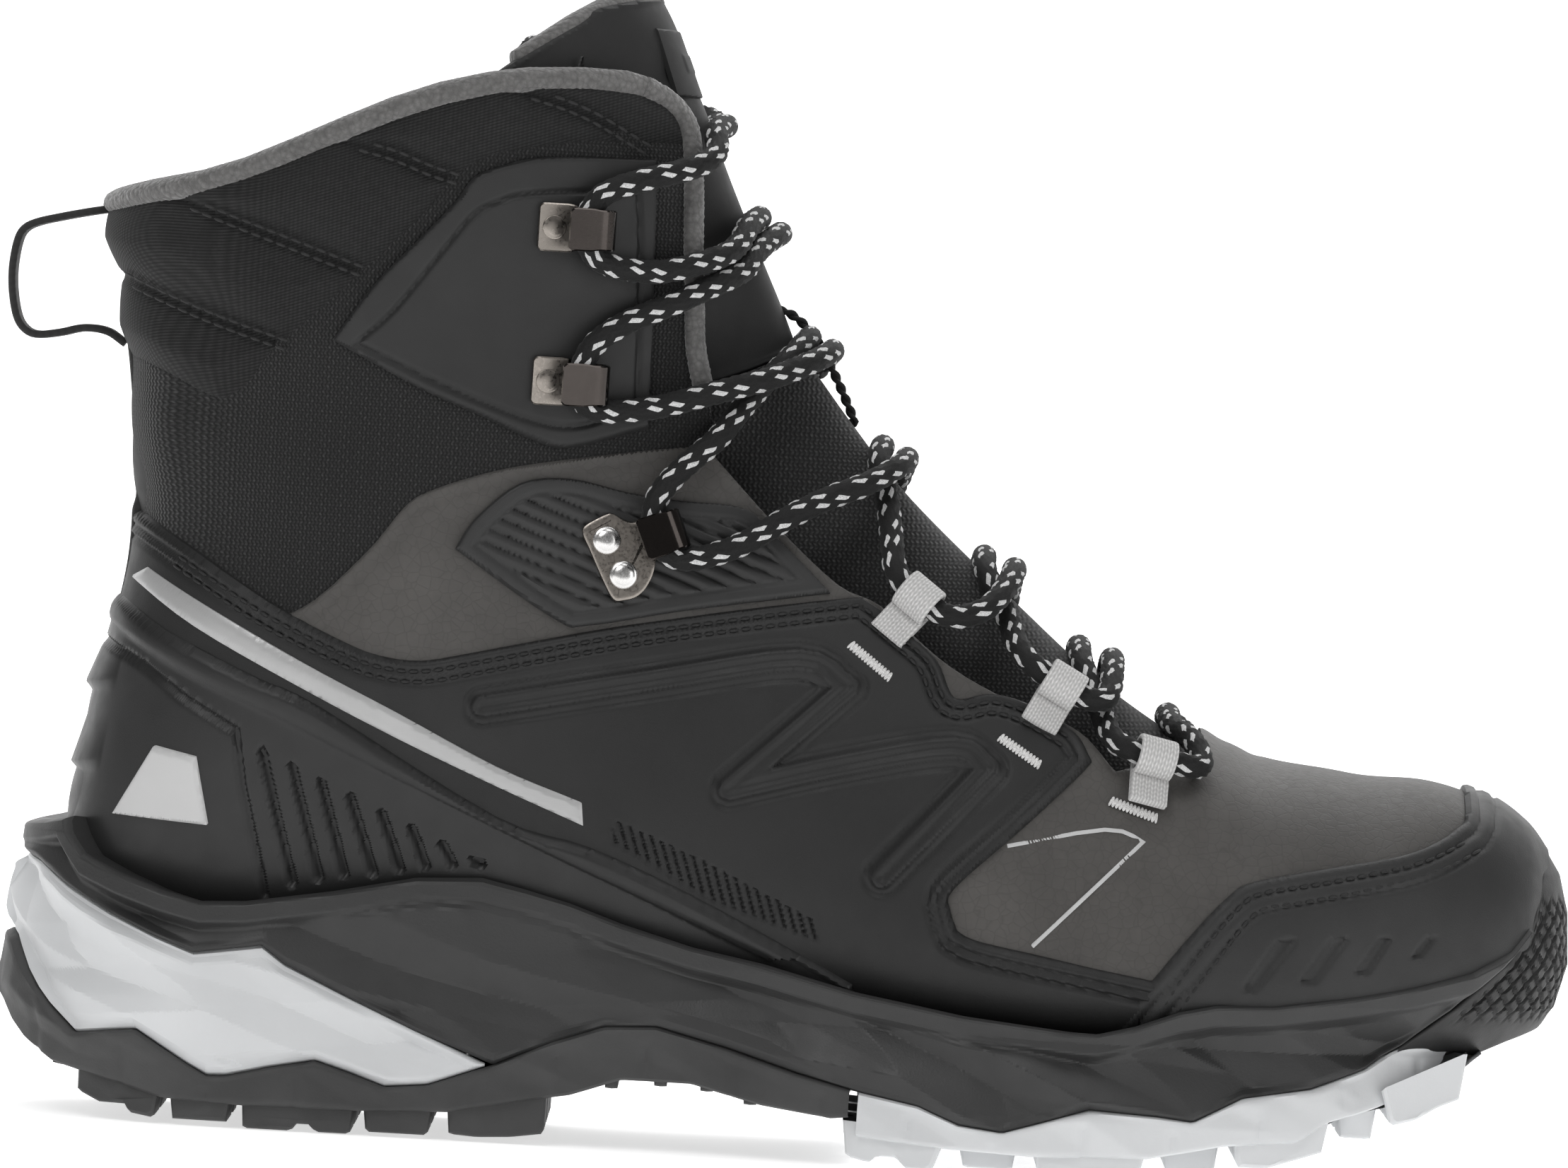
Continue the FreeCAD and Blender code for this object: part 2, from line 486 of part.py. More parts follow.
def hook(back, base_b0, base_b1, tip):
    """Bent strip hook: base plate, half-round bend and returning tip, lace channel along local y."""
    bore = HOOK_T + HOOK_BORE
    base = Part.makeBox(HOOK_BEND - back, base_b1 - base_b0, HOOK_T, Vec(back, base_b0, 0))
    ring = Part.makeCylinder(bore, NECK_W, Vec(HOOK_BEND, -NECK_W / 2, bore), Vec(0, 1, 0))
    ring = ring.cut(Part.makeCylinder(HOOK_BORE, NECK_W, Vec(HOOK_BEND, -NECK_W / 2, bore), Vec(0, 1, 0)))
    ring = ring.common(Part.makeBox(20, NECK_W, 20, Vec(HOOK_BEND, -NECK_W / 2, -1)))
    flange = Part.makeBox(HOOK_BEND - tip, HOOK_W, HOOK_T, Vec(tip, -HOOK_W / 2, 2 * bore - HOOK_T))
    return base.multiFuse([ring, flange]).removeSplitter()


def rivet(a, b):
    head = Part.makeCylinder(RIVET_R, 0.7, Vec(a, b, HOOK_T))
    dome = Part.makeCone(RIVET_R, 1.4, 0.6, Vec(a, b, HOOK_T + 0.7))
    return head.fuse(dome)


rivets = []
for side, medial in (("lateral", False), ("medial", True)):
    for name, spot, back, b0, b1, tip, pins in (
            ("hook_top", TOP_HOOK, -7.0, -4.6, 4.6, -2.4, ((-4.0, 0.0),)),
            ("hook_mid", MID_HOOK, -7.0, -4.6, 4.6, -2.4, ((-4.0, 0.0),)),
            ("hook_lock", LOCK_HOOK, -11.5, -8.4, 6.0, -1.6, ((-7.4, 2.6), (-6.6, -4.8)))):
        x, z, lean = spot
        local = frame_at(x, z, BASE_GROW, medial, lean)
        keep(name + "_" + side, place(hook(back, b0, b1, tip), *local))
        rivets += [place(rivet(a, b), *local) for a, b in pins]
keep("rivets", Part.makeCompound(rivets))

WEB_LOOPS = ((221.3, 79.7, -12.0), (202.5, 92.7, -28.5), (174.5, 108.6, -36.5))
LOOP_BORE = 3.0
LOOP_T = 1.0
LOOP_W = 7.6
LOOP_GROW = 0.2
for side, medial in (("lateral", False), ("medial", True)):
    for count, (x, z, lean) in enumerate(WEB_LOOPS, 1):
        local = frame_at(x, z, LOOP_GROW, medial, math.radians(lean))
        high = LOOP_BORE + LOOP_T
        ring = Part.makeCylinder(high, LOOP_W, Vec(-LOOP_W / 2, 0, high), Vec(1, 0, 0))
        tab = Part.makeBox(LOOP_W, 4.6, LOOP_T, Vec(-LOOP_W / 2, -4.6, 0))
        bore = Part.makeCylinder(LOOP_BORE, LOOP_W, Vec(-LOOP_W / 2, 0, high), Vec(1, 0, 0))
        ring = ring.fuse(tab).cut(bore)
        keep("lace_loop_%d_%s" % (count, side), place(ring, *local))
BARTACKS = (((162.3, 100.7), (170.4, 94.7)), ((192.2, 84.6), (200.2, 79.7)), ((214.2, 73.6), (223.4, 70.7)))
tacks = []
for (x0, z0), (x1, z1) in BARTACKS:
    quad = ((x0, z0 - 0.9), (x1, z1 - 0.9), (x1, z1 + 0.9), (x0, z0 + 0.9))
    low = 2 * GAP + OVERLAY_T if x0 < 210 else GAP
    band = layer(low, low + 0.5).common(prism(quad))
    tacks += band.Solids
keep("bartacks", Part.makeCompound(tacks))

# Pull loop and the tape below it
PULL = ((9.6, 176.0), (3.2, 174.5), (-1.7, 173.1), (-4.1, 171.6), (-5.2, 169.0), (-5.8, 164.0), (-5.5, 159.1),
        (-4.3, 154.2), (-2.3, 151.8), (0.2, 151.2), (4.5, 151.9), (8.8, 153.0), (13.4, 152.6))
PULL_W = 11.0


def strip(line, thick):
    """Closed outline of a bent strip round its centre line."""
    left, right = [], []
    for k, (x, z) in enumerate(line):
        x0, z0 = line[max(k - 1, 0)]
        x1, z1 = line[min(k + 1, len(line) - 1)]
        run = math.hypot(x1 - x0, z1 - z0)
        nx, nz = -(z1 - z0) / run * thick / 2, (x1 - x0) / run * thick / 2
        left.append((x + nx, z + nz))
        right.append((x - nx, z - nz))
    return left + right[::-1]


pull_plan = plate(((-10, -5.5), (4, -5.5), (8.5, -2.5), (20, -2.5), (20, 2.5), (8.5, 2.5), (4, 5.5),
                   (-10, 5.5)),
                  140, 190)
keep("pull_loop", prism(strip(PULL, WEB_T), -PULL_W / 2, PULL_W / 2).common(pull_plan))
HALF = PULL_W / 2
tape = layer(GAP, GAP + WEB_T).common(prism(((0, 118.6), (0, 146.8), (60, 146.8), (60, 118.6)), -HALF, HALF))
step = prism(((0, 118.6), (0, 121), (60, 121), (60, 118.6)), -HALF, HALF)
over_cage = prism(((0, 110), (0, 121), (60, 121), (60, 110)), -HALF, HALF)
tape = tape.fuse(layer(GAP, 1.6 + WEB_T).common(step))
tape = tape.fuse(layer(1.6, 1.6 + WEB_T).common(over_cage))
tape = tape.common(prism(((0, 100), (0, 150), (40, 150), (40, 100))))
keep("heel_tape", tape)


# Lace: corners at the hooks and loops, with the way from each to the crest of the tongue
LACE_R = LACE_D / 2
LOW = TONGUE_FRONT + LACE_R + 1.6
HIGH = LOW + LACE_D + 0.9
CREST_ANGLE = math.radians(20.0)
ARM = 0.45               # share of a run that a bend may take
WRAP_A = 1.6             # lace centre behind a hook's neck
WRAP_B = 6.0
LOOP_EXIT = 6.0


def cross(u, lateral=LOW, middle=LOW, medial=LOW):
    """Three points over the tongue, lateral to medial, each with its height."""
    heights = (lateral, middle, medial)
    return [on_section(section(station(u), grow), turn * CREST_ANGLE)
            for turn, grow in zip((-1, 0, 1), heights)]


def hook_run(spot, medial):
    """Lace corners above and below a hook."""
    x, z, lean = spot
    p, t, b, n = frame_at(x, z, BASE_GROW, medial, lean)
    mid = p + t * WRAP_A + n * (HOOK_T + HOOK_BORE)
    up = b if b.z > 0 else -b
    return [mid + up * WRAP_B, mid - up * WRAP_B]


def loop_run(number, medial):
    """Lace centre behind and ahead of a webbing loop."""
    x, z, lean = WEB_LOOPS[number - 1]
    p, t, b, n = frame_at(x, z, LOOP_GROW, medial, math.radians(lean))
    mid = p + n * (LOOP_BORE + LOOP_T)
    return [mid - t * LOOP_EXIT, mid + t * LOOP_EXIT]


def way(points, medial):
    return [put(x, z, grow, medial) for x, z, grow in points]


# From each hook or loop towards the crest; the OVER ways ride on the strand below
TOP_HIGH = ((131.6, 193.6, 4.8), (125.4, 190.4, 5.8), (116.5, 188.0, 5.2))
TOP_LOW = ((119.5, 169.8, 5.2), (127.6, 172.0, 5.8), (136.0, 175.4, 3.8))
TOP_LOW_OVER = ((119.5, 169.8, 5.2), (127.6, 172.2, 5.8), (134.6, 174.8, 6.2))
MID_HIGH = ((114.5, 160.2, 5.2), (123.0, 163.8, 5.4), (131.2, 168.2, 5.3), (138.2, 171.8, 2.5))
MID_LOWER = ((121.2, 143.8, 4.9), (129.2, 146.8, 5.0), (139.0, 151.6, 2.4))
MID_LOWER_OVER = ((121.2, 143.8, 4.9), (129.2, 146.4, 5.4), (138.0, 149.2, 5.8), (145.0, 151.4, 5.0))
LOCK_HIGH = ((128.5, 133.8, 4.6), (134.5, 138.6, 4.0), (139.8, 147.0, 0.8))
LOCK_FRONT = ((139.0, 117.6, 5.0), (148.5, 124.3, 4.8), (157.0, 129.6, 2.4))
LOCK_FRONT_OVER = ((139.0, 117.6, 5.0), (148.5, 124.3, 4.8), (157.0, 129.0, 4.2), (164.4, 131.8, 5.0))
THREE_BACK = ((169.6, 118.5, 2.8), (168.8, 124.0, 0.0), (168.0, 129.0, -1.6))
THREE_FRONT = ((184.2, 108.0, 1.8),)
THREE_FRONT_OVER = ((184.6, 107.2, 4.2), (189.8, 109.6, 5.0))
TWO_BACK = ((195.0, 101.2, 2.0), (193.0, 106.6, -1.4))
TWO_FRONT = ((210.8, 93.8, 1.2),)
TWO_FRONT_OVER = ((213.2, 92.6, 5.5),)
ONE_BACK = ((213.6, 85.6, 1.4), (211.8, 90.2, -1.2))
ONE_BACK_FREE = ((213.8, 85.6, 1.6), (214.2, 89.6, -0.6))
ONE_FRONT = ((232.4, 80.4, 3.4), (230.4, 85.8, 3.0))
TAIL_A = ((96.0, 132.0, -13.5), (96.5, 165.0, -12.5), (97.0, 190.0, -12.0), (97.5, 207.6, -12.6),
          (98.2, 214.4, -7.6), (101.5, 214.4, 2.8), (108.0, 209.0, 5.4), (117.0, 204.4, 5.4),
          (125.0, 202.2, 5.6), (130.6, 201.2, 4.6))
TAIL_B = ((86.0, 132.0, -14.0), (88.0, 165.0, -12.5), (90.0, 190.0, -12.0), (91.3, 207.2, -12.6),
          (92.0, 214.0, -7.6), (94.0, 214.0, 3.0), (98.0, 206.6, 5.4), (101.2, 200.2, 5.2),
          (105.0, 192.5, 5.2))
RIDE = LOW + 2.2

LACE = way(TAIL_A, True) + cross(15.5)[::-1] + way(TOP_HIGH, False)
LACE += hook_run(TOP_HOOK, False) + way(TOP_LOW, False) + cross(13.65)
LACE += way(MID_HIGH, True)[::-1] + hook_run(MID_HOOK, True) + way(MID_LOWER, True) + cross(10.6)[::-1]
LACE += way(LOCK_HIGH, False)[::-1] + hook_run(LOCK_HOOK, False)
LACE += way(LOCK_FRONT_OVER, False) + cross(8.2, HIGH, RIDE)
LACE += way(THREE_BACK, True)[::-1] + loop_run(3, True) + way(THREE_FRONT, True) + cross(7.28)[::-1]
LACE += way(TWO_BACK, False)[::-1] + loop_run(2, False) + way(TWO_FRONT_OVER, False) + cross(6.1, HIGH, RIDE)
LACE += way(ONE_BACK_FREE, True)[::-1] + loop_run(1, True) + way(ONE_FRONT, True) + cross(5.6)[::-1]
LACE += way(ONE_FRONT, False)[::-1] + loop_run(1, False)[::-1] + way(ONE_BACK, False) + cross(6.38)
LACE += way(TWO_FRONT, True)[::-1] + loop_run(2, True)[::-1]
LACE += way(TWO_BACK, True) + cross(7.02, HIGH, RIDE)[::-1]
LACE += way(THREE_FRONT_OVER, False)[::-1] + loop_run(3, False)[::-1] + way(THREE_BACK, False) + cross(8.55)
LACE += way(LOCK_FRONT, True)[::-1] + hook_run(LOCK_HOOK, True)[::-1] + way(LOCK_HIGH, True)
LACE += cross(10.05, HIGH, RIDE)[::-1] + way(MID_LOWER_OVER, False)[::-1] + hook_run(MID_HOOK, False)[::-1]
LACE += way(MID_HIGH, False) + cross(13.05, LOW, RIDE, HIGH) + way(TOP_LOW_OVER, True)[::-1]
LACE += hook_run(TOP_HOOK, True)[::-1] + way(TAIL_B, True)[::-1]


def rounded(points):
    """Straight runs joined by tangent arcs, with each arc's radius."""
    edges, radii, start = [], [], points[0]
    for before, corner, after in zip(points, points[1:], points[2:]):
        d0, d1 = corner - before, after - corner
        reach = ARM * min(d0.Length, d1.Length)
        d0.normalize()
        d1.normalize()
        half_turn = d0.getAngle(d1) / 2
        p0, p1 = corner - d0 * reach, corner + d1 * reach
        inward = (d1 - d0).normalize()
        radius = reach / math.tan(half_turn)
        middle = corner + inward * (radius / math.cos(half_turn) - radius)
        edges += [Part.makeLine(start, p0), Part.Arc(p0, middle, p1).toShape()]
        radii.append(radius)
        start = p1
    edges.append(Part.makeLine(start, points[-1]))
    return Part.Wire(edges), radii


spine, radii = rounded(LACE)
first_dir = (LACE[1] - LACE[0]).normalize()
lace = spine.makePipeShell([Part.Wire(Part.makeCircle(LACE_R, LACE[0], first_dir))], True, False)
print("lace length", round(spine.Length), "tightest bend", round(min(radii), 1),
      "volume share", round(lace.Volume / (spine.Length * math.pi * LACE_R ** 2), 3))
keep("lace", lace)
AGLET = 20.0
tips = []
for end, inner in ((LACE[0], LACE[1]), (LACE[-1], LACE[-2])):
    out = (end - inner).normalize()
    tips.append(Part.makeCylinder(LACE_R - 0.3, AGLET, end, out))
keep("lace_aglets", Part.makeCompound(tips))


os.makedirs("parts", exist_ok=True)
for name, shape in PARTS.items():
    shape.translate(Vec(-HEEL_TO_CENTRE, 0, 0))
    print(name, "solids", len(shape.Solids), "valid", shape.isValid(), "mm3", round(shape.Volume))
    shape.exportStep(os.path.join("parts", name + ".step"))
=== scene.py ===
"""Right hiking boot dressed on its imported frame: layered upper, moulded sole, braided lace, hardware.

Outlines are in millimetres: x from the back of the sole towards the toe, y towards the medial side,
z up from the ground. metres() moves them into the frame.
"""

import math

import bpy
import numpy as np
from mathutils import Matrix, Vector


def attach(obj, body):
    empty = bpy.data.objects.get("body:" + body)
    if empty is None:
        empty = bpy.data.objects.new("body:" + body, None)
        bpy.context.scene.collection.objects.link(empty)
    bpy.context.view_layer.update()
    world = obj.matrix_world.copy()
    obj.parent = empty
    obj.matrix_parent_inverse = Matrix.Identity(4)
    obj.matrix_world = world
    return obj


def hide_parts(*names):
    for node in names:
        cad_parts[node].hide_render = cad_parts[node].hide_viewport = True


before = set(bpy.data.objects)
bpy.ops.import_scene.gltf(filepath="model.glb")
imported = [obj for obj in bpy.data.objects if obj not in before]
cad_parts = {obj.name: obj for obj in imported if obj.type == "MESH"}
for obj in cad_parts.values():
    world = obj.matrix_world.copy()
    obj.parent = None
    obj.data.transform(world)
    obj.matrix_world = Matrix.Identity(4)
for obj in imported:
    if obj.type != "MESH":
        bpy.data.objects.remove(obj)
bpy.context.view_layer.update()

HEEL_TO_CENTRE = 150.1
LAST = 17
TAU = 2 * math.pi
LATERAL, MEDIAL = -1, 1
SIDES = (("lateral", LATERAL), ("medial", MEDIAL))
HALF = {LATERAL: (-1, 0), MEDIAL: (0, 1)}      # shares of the half girth on each side

# Body stations as in the part's source, from the toe, over the heel, to the collar:
# front point, back point, centre y, half width, widest share from the back,
# front power, back power, share of an offset that goes forward
STATIONS = np.array((
    (300.5, 66.0, 300.5, 43.0, 7.5, 14.0, 0.50, 2.2, 2.4, 1.0),
    (296.5, 71.3, 296.5, 37.0, 6.8, 25.0, 0.45, 2.2, 2.6, 0.7),
    (289.0, 76.3, 289.0, 32.5, 5.5, 34.0, 0.42, 2.2, 2.8, 0.35),
    (277.0, 79.3, 277.0, 29.0, 3.5, 42.0, 0.40, 2.2, 3.0, 0.1),
    (261.0, 80.2, 261.0, 25.5, 1.6, 47.6, 0.38, 2.2, 3.0, 0.0),
    (240.0, 84.0, 240.0, 22.5, 0.0, 50.3, 0.36, 2.2, 3.0, 0.0),
    (216.0, 97.0, 214.0, 21.5, -0.6, 48.6, 0.35, 2.2, 3.0, 0.0),
    (194.0, 115.0, 184.0, 22.5, -1.2, 44.5, 0.34, 2.2, 3.0, 0.0),
    (174.0, 133.0, 148.0, 25.5, -1.5, 38.5, 0.36, 2.2, 3.0, 0.0),
    (163.0, 146.0, 108.0, 30.0, -1.0, 35.5, 0.40, 2.2, 3.0, 0.0),
    (155.5, 156.0, 70.0, 31.5, 0.0, 35.5, 0.46, 2.2, 3.0, 0.0),
    (150.5, 164.0, 36.0, 30.5, 0.5, 36.5, 0.50, 2.2, 2.9, 0.0),
    (147.0, 171.0, 14.5, 42.0, 0.5, 37.5, 0.52, 2.2, 2.6, 0.0),
    (143.5, 178.5, 15.5, 78.0, 0.3, 38.5, 0.54, 2.2, 2.4, 0.0),
    (140.0, 186.0, 21.5, 112.0, 0.0, 39.5, 0.54, 2.2, 2.2, 0.0),
    (136.0, 195.0, 19.0, 146.0, 0.0, 41.5, 0.52, 2.2, 2.2, 0.0),
    (131.0, 207.0, 12.5, 178.0, 0.0, 44.0, 0.50, 2.2, 2.2, 0.0),
    (123.0, 226.0, 9.5, 212.0, 0.0, 45.0, 0.50, 2.2, 2.2, 0.0),
))
TONGUE_FRONT = -4.6
TONGUE_SIDE = -10.5
TONGUE_POWER = 2.2


# ---------------------------------------------------------------- lines and grids of points

def unit(v):
    return v / np.linalg.norm(v, axis=-1, keepdims=True)


def tangents(line):
    return unit(np.gradient(line, axis=0))


def turned_right(t):
    """Plane directions turned a quarter to the right."""
    return np.stack((t[:, 1], -t[:, 0]), -1)


def run_of(line):
    """Length along a line up to each of its points."""
    return np.concatenate(((0,), np.cumsum(np.linalg.norm(np.diff(line, axis=0), axis=1))))


def catmull(a, b, c, d, t):
    """Catmull-Rom spline between b and c."""
    return 0.5 * (2 * b + (c - a) * t + (2 * a - 5 * b + 4 * c - d) * t ** 2 + (3 * b - a - 3 * c + d) * t ** 3)


def round_off(gap, radius):
    """How far a rounded edge has dropped at a distance from it."""
    return radius * (1 - np.sqrt(1 - (1 - np.clip(gap / radius, 0, 1)) ** 2))


def tube(rows, ring, start=0, foot=True):
    """Faces round rows of ring points, with the last row closed, and the first one too."""
    faces = []
    for k in range(rows - 1):
        for j in range(ring):
            a, b = start + k * ring + j, start + k * ring + (j + 1) % ring
            faces.append([a, b, b + ring, a + ring])
    if foot:
        faces.append([start + j for j in range(ring)][::-1])
    faces.append([start + (rows - 1) * ring + j for j in range(ring)])
    return faces


def sheet(rows, cols):
    """Faces of a sheet of points."""
    return [[a, a + 1, a + cols + 1, a + cols]
            for k in range(rows - 1) for a in range(k * cols, k * cols + cols - 1)]


def border(rows, cols):
    """Pairs of neighbours round the border of a sheet of points."""
    rim = list(range(cols)) + [k * cols + cols - 1 for k in range(1, rows)] + [
        (rows - 1) * cols + j for j in range(cols - 2, -1, -1)] + [k * cols for k in range(rows - 2, 0, -1)]
    return zip(rim, rim[1:] + rim[:1])


# ---------------------------------------------------------------- the body's surface

def metres(points):
    points = np.array(points, float)
    points[..., 0] -= HEEL_TO_CENTRE
    return points / 1000


def stations(u):
    """Catmull-Rom rows at fractional station numbers."""
    u = np.clip(np.asarray(u, float), 0, LAST)
    i = np.minimum(u.astype(int), LAST - 1)
    t = (u - i)[..., None]
    a, b, c, d = (STATIONS[np.clip(i + k, 0, LAST)] for k in (-1, 0, 1, 2))
    return catmull(a, b, c, d, t)


def body_point(u, angle, grow=0.0, side=None, power=None):
    """Points of the body grown by an offset; angle 0 is the front, 90 degrees the medial side."""
    fx, fz, bx, bz, mid, wide, share, p_front, p_back, nose = np.moveaxis(stations(u), -1, 0)
    length = np.hypot(bx - fx, bz - fz)
    dx, dz = (bx - fx) / length, (bz - fz) / length
    fx, fz = fx + nose * grow - dx * grow, fz - dz * grow
    bx, bz = bx + nose * grow + dx * grow, bz + dz * grow
    half = wide + (grow if side is None else side)
    c, s = np.cos(angle), np.sin(angle)
    p = np.where(c >= 0, p_front if power is None else power, p_back)
    reach = np.abs(c) ** (2 / p)
    ex, ez = bx + (fx - bx) * share, bz + (fz - bz) * share
    x = ex + (np.where(c >= 0, fx, bx) - ex) * reach
    z = ez + (np.where(c >= 0, fz, bz) - ez) * reach
    y = mid + half * np.sign(s) * np.abs(s) ** (2 / p)
    return np.stack(np.broadcast_arrays(x, y, z), -1)


def make_tables():
    """Angle at equal shares of each section's half girth, and how far the stations are apart."""
    us = np.linspace(0, LAST, 20 * LAST + 1)
    t = np.linspace(0, 1, 161)
    quarter = (3 * t ** 2 - 2 * t ** 3) * math.pi / 2
    angles = np.concatenate((quarter, quarter[1:] + math.pi / 2))
    p = body_point(us[:, None], angles[None])
    run = np.cumsum(np.linalg.norm(np.diff(p, axis=1), axis=-1), axis=1)
    run = np.concatenate((np.zeros((len(us), 1)), run), axis=1)
    shares = np.linspace(0, 1, 401)
    table = np.array([np.interp(shares, row / row[-1], angles) for row in run])
    step = np.linalg.norm(np.diff(p[:, (0, -1)], axis=0), axis=-1)
    span = np.concatenate(((0,), np.cumsum(step.max(1))))
    mean = np.concatenate(((0,), np.cumsum(step.mean(1))))
    return us, table, run[:, -1], span, mean


TABLE_U, ANGLES, GIRTH, SPAN, MEAN_RUN = make_tables()


def angle_at(u, w):
    """Angle at share w of the half girth: 0 at the front, -1 and 1 at the back."""
    a = np.clip(u, 0, LAST) * 20
    b = np.clip(np.abs(w), 0, 1) * 400
    i, j = np.minimum(a.astype(int), 20 * LAST - 1), np.minimum(b.astype(int), 399)
    s, t = a - i, b - j
    low = ANGLES[i, j] * (1 - t) + ANGLES[i, j + 1] * t
    high = ANGLES[i + 1, j] * (1 - t) + ANGLES[i + 1, j + 1] * t
    return np.sign(w) * (low * (1 - s) + high * s)


def upper(u, w, grow=0.0):
    return body_point(u, angle_at(u, w), grow)


def tongue(u, w, grow=0.0):
    """The tongue's surface: closer in at its wings than at its front."""
    depth = TONGUE_FRONT + grow
    return body_point(u, angle_at(u, w), depth, TONGUE_SIDE + grow, TONGUE_POWER)


def locate(x, z, grow=0.0, side=LATERAL):
    """Station number and angle of the body's point over a side-view point."""
    x, z = np.atleast_1d(np.asarray(x, float)), np.atleast_1d(np.asarray(z, float))
    us = np.linspace(0, LAST, 40 * LAST + 1)
    f, b = body_point(us, 0.0, grow), body_point(us, math.pi, grow)
    dx, dz = b[:, 0] - f[:, 0], b[:, 2] - f[:, 2]
    over = (x[:, None] - f[:, 0]) * dz - (z[:, None] - f[:, 2]) * dx
    along = ((x[:, None] - f[:, 0]) * dx + (z[:, None] - f[:, 2]) * dz) / np.maximum(1.0, dx ** 2 + dz ** 2)
    found = (over[:, :-1] * over[:, 1:] <= 0) & (along[:, :-1] > -0.1) & (along[:, :-1] < 1.1)
    found &= (np.hypot(dx, dz) > 12)[:-1]
    k = found.argmax(1)
    rows = np.arange(len(x))
    o0, o1 = over[rows, k], over[rows, k + 1]
    t = np.clip(o0 / np.where(np.abs(o0 - o1) < 1e-9, 1e-9, o0 - o1), 0, 1)
    u = us[k] + t * (us[1] - us[0])
    q = 1 - (along[rows, k] * (1 - t) + along[rows, k + 1] * t)
    row = stations(u)
    share, p_front, p_back = row[:, 6], row[:, 7], row[:, 8]
    ahead = q >= share
    a = np.clip(np.where(ahead, (q - share) / (1 - share), (share - q) / share), 0, 1)
    power = np.where(ahead, p_front, p_back)
    angle = np.arccos(np.where(ahead, 1, -1) * a ** (power / 2)) * side
    return u, angle


def on_side(x, z, grow=0.0, side=LATERAL):
    u, angle = locate(x, z, grow, side)
    return body_point(u, angle, grow)


def put(x, z, grow=0.0, side=LATERAL):
    return on_side(x, z, grow, side)[0]


def local_frame(x, z, grow, side, lean):
    """Origin on the side, forward-leaning tangent, cross tangent and outward normal."""
    step = 1.5
    p = put(x, z, grow, side)
    ax, az = math.cos(lean) * step, math.sin(lean) * step
    t = put(x + ax, z + az, grow, side) - put(x - ax, z - az, grow, side)
    b = put(x - az, z + ax, grow, side) - put(x + az, z - ax, grow, side)
    t = unit(t)
    n = np.cross(t, b)
    n = unit(n) * side * np.sign(n[1])
    return p, t, np.cross(n, t), n


# ---------------------------------------------------------------- outlines

def smooth_line(points, closed=True, parts=4, sharp=48):
    """The outline with its gentle corners rounded and its sharp ones kept."""
    p = np.array(points, float)
    n = len(p)
    if closed:
        before, after = p - np.roll(p, 1, 0), np.roll(p, -1, 0) - p
    else:
        before = np.diff(p, axis=0, prepend=2 * p[:1] - p[1:2])
        after = np.diff(p, axis=0, append=2 * p[-1:] - p[-2:-1])
    turn = np.degrees(np.abs(np.arctan2(before[:, 0] * after[:, 1] - before[:, 1] * after[:, 0],
                                        (before * after).sum(1))))
    out = []
    for k in range(n if closed else n - 1):
        b, c = p[k], p[(k + 1) % n]
        a = p[k - 1] if (closed or k > 0) and turn[k] < sharp else 2 * b - c
        d = p[(k + 2) % n] if (closed or k + 2 < n) and turn[(k + 1) % n] < sharp else 2 * c - b
        for t in np.arange(parts) / parts:
            out.append(catmull(a, b, c, d, t))
    if not closed:
        out.append(p[-1])
    return np.array(out)


def nearest(x, z, line, closed):
    """Squared distance to a line, the nearest points on it, and whether a point is inside it."""
    best = np.full(x.shape, 1e12)
    nx, nz = np.zeros(x.shape), np.zeros(x.shape)
    inside = np.zeros(x.shape, bool)
    count = len(line) if closed else len(line) - 1
    for k in range(count):
        (ax, az), (bx, bz) = line[k], line[(k + 1) % len(line)]
        ex, ez = bx - ax, bz - az
        t = np.clip(((x - ax) * ex + (z - az) * ez) / max(1e-9, ex * ex + ez * ez), 0, 1)
        px, pz = ax + t * ex, az + t * ez
        d = (x - px) ** 2 + (z - pz) ** 2
        nearer = d < best
        best = np.where(nearer, d, best)
        nx, nz = np.where(nearer, px, nx), np.where(nearer, pz, nz)
        if closed and az != bz:
            inside ^= ((az > z) != (bz > z)) & (x < ax + (z - az) * ex / ez)
    return best, nx, nz, inside


def away(x, z, line, closed=False):
    """Distance to an open or a closed line."""
    return np.sqrt(nearest(x, z, line, closed)[0])


def depth_in(x, z, line):
    """Signed distance to a closed line, positive inside."""
    best, _, _, inside = nearest(x, z, line, True)
    return np.where(inside, 1, -1) * np.sqrt(best)


def bump(d, width):
    """1 on a line, falling smoothly to 0 at its width."""
    return np.where(d < width, 0.5 + 0.5 * np.cos(math.pi * np.minimum(d, width) / width), 0.0)


def step_up(d, width):
    """0 outside, rising smoothly to 1 a width inside."""
    t = np.clip(d / width, 0, 1)
    return t * t * (3 - 2 * t)


def shift(points, dx, dz):
    return [(x + dx, z + dz) for x, z in points]


# ---------------------------------------------------------------- meshes

MATERIALS = {}


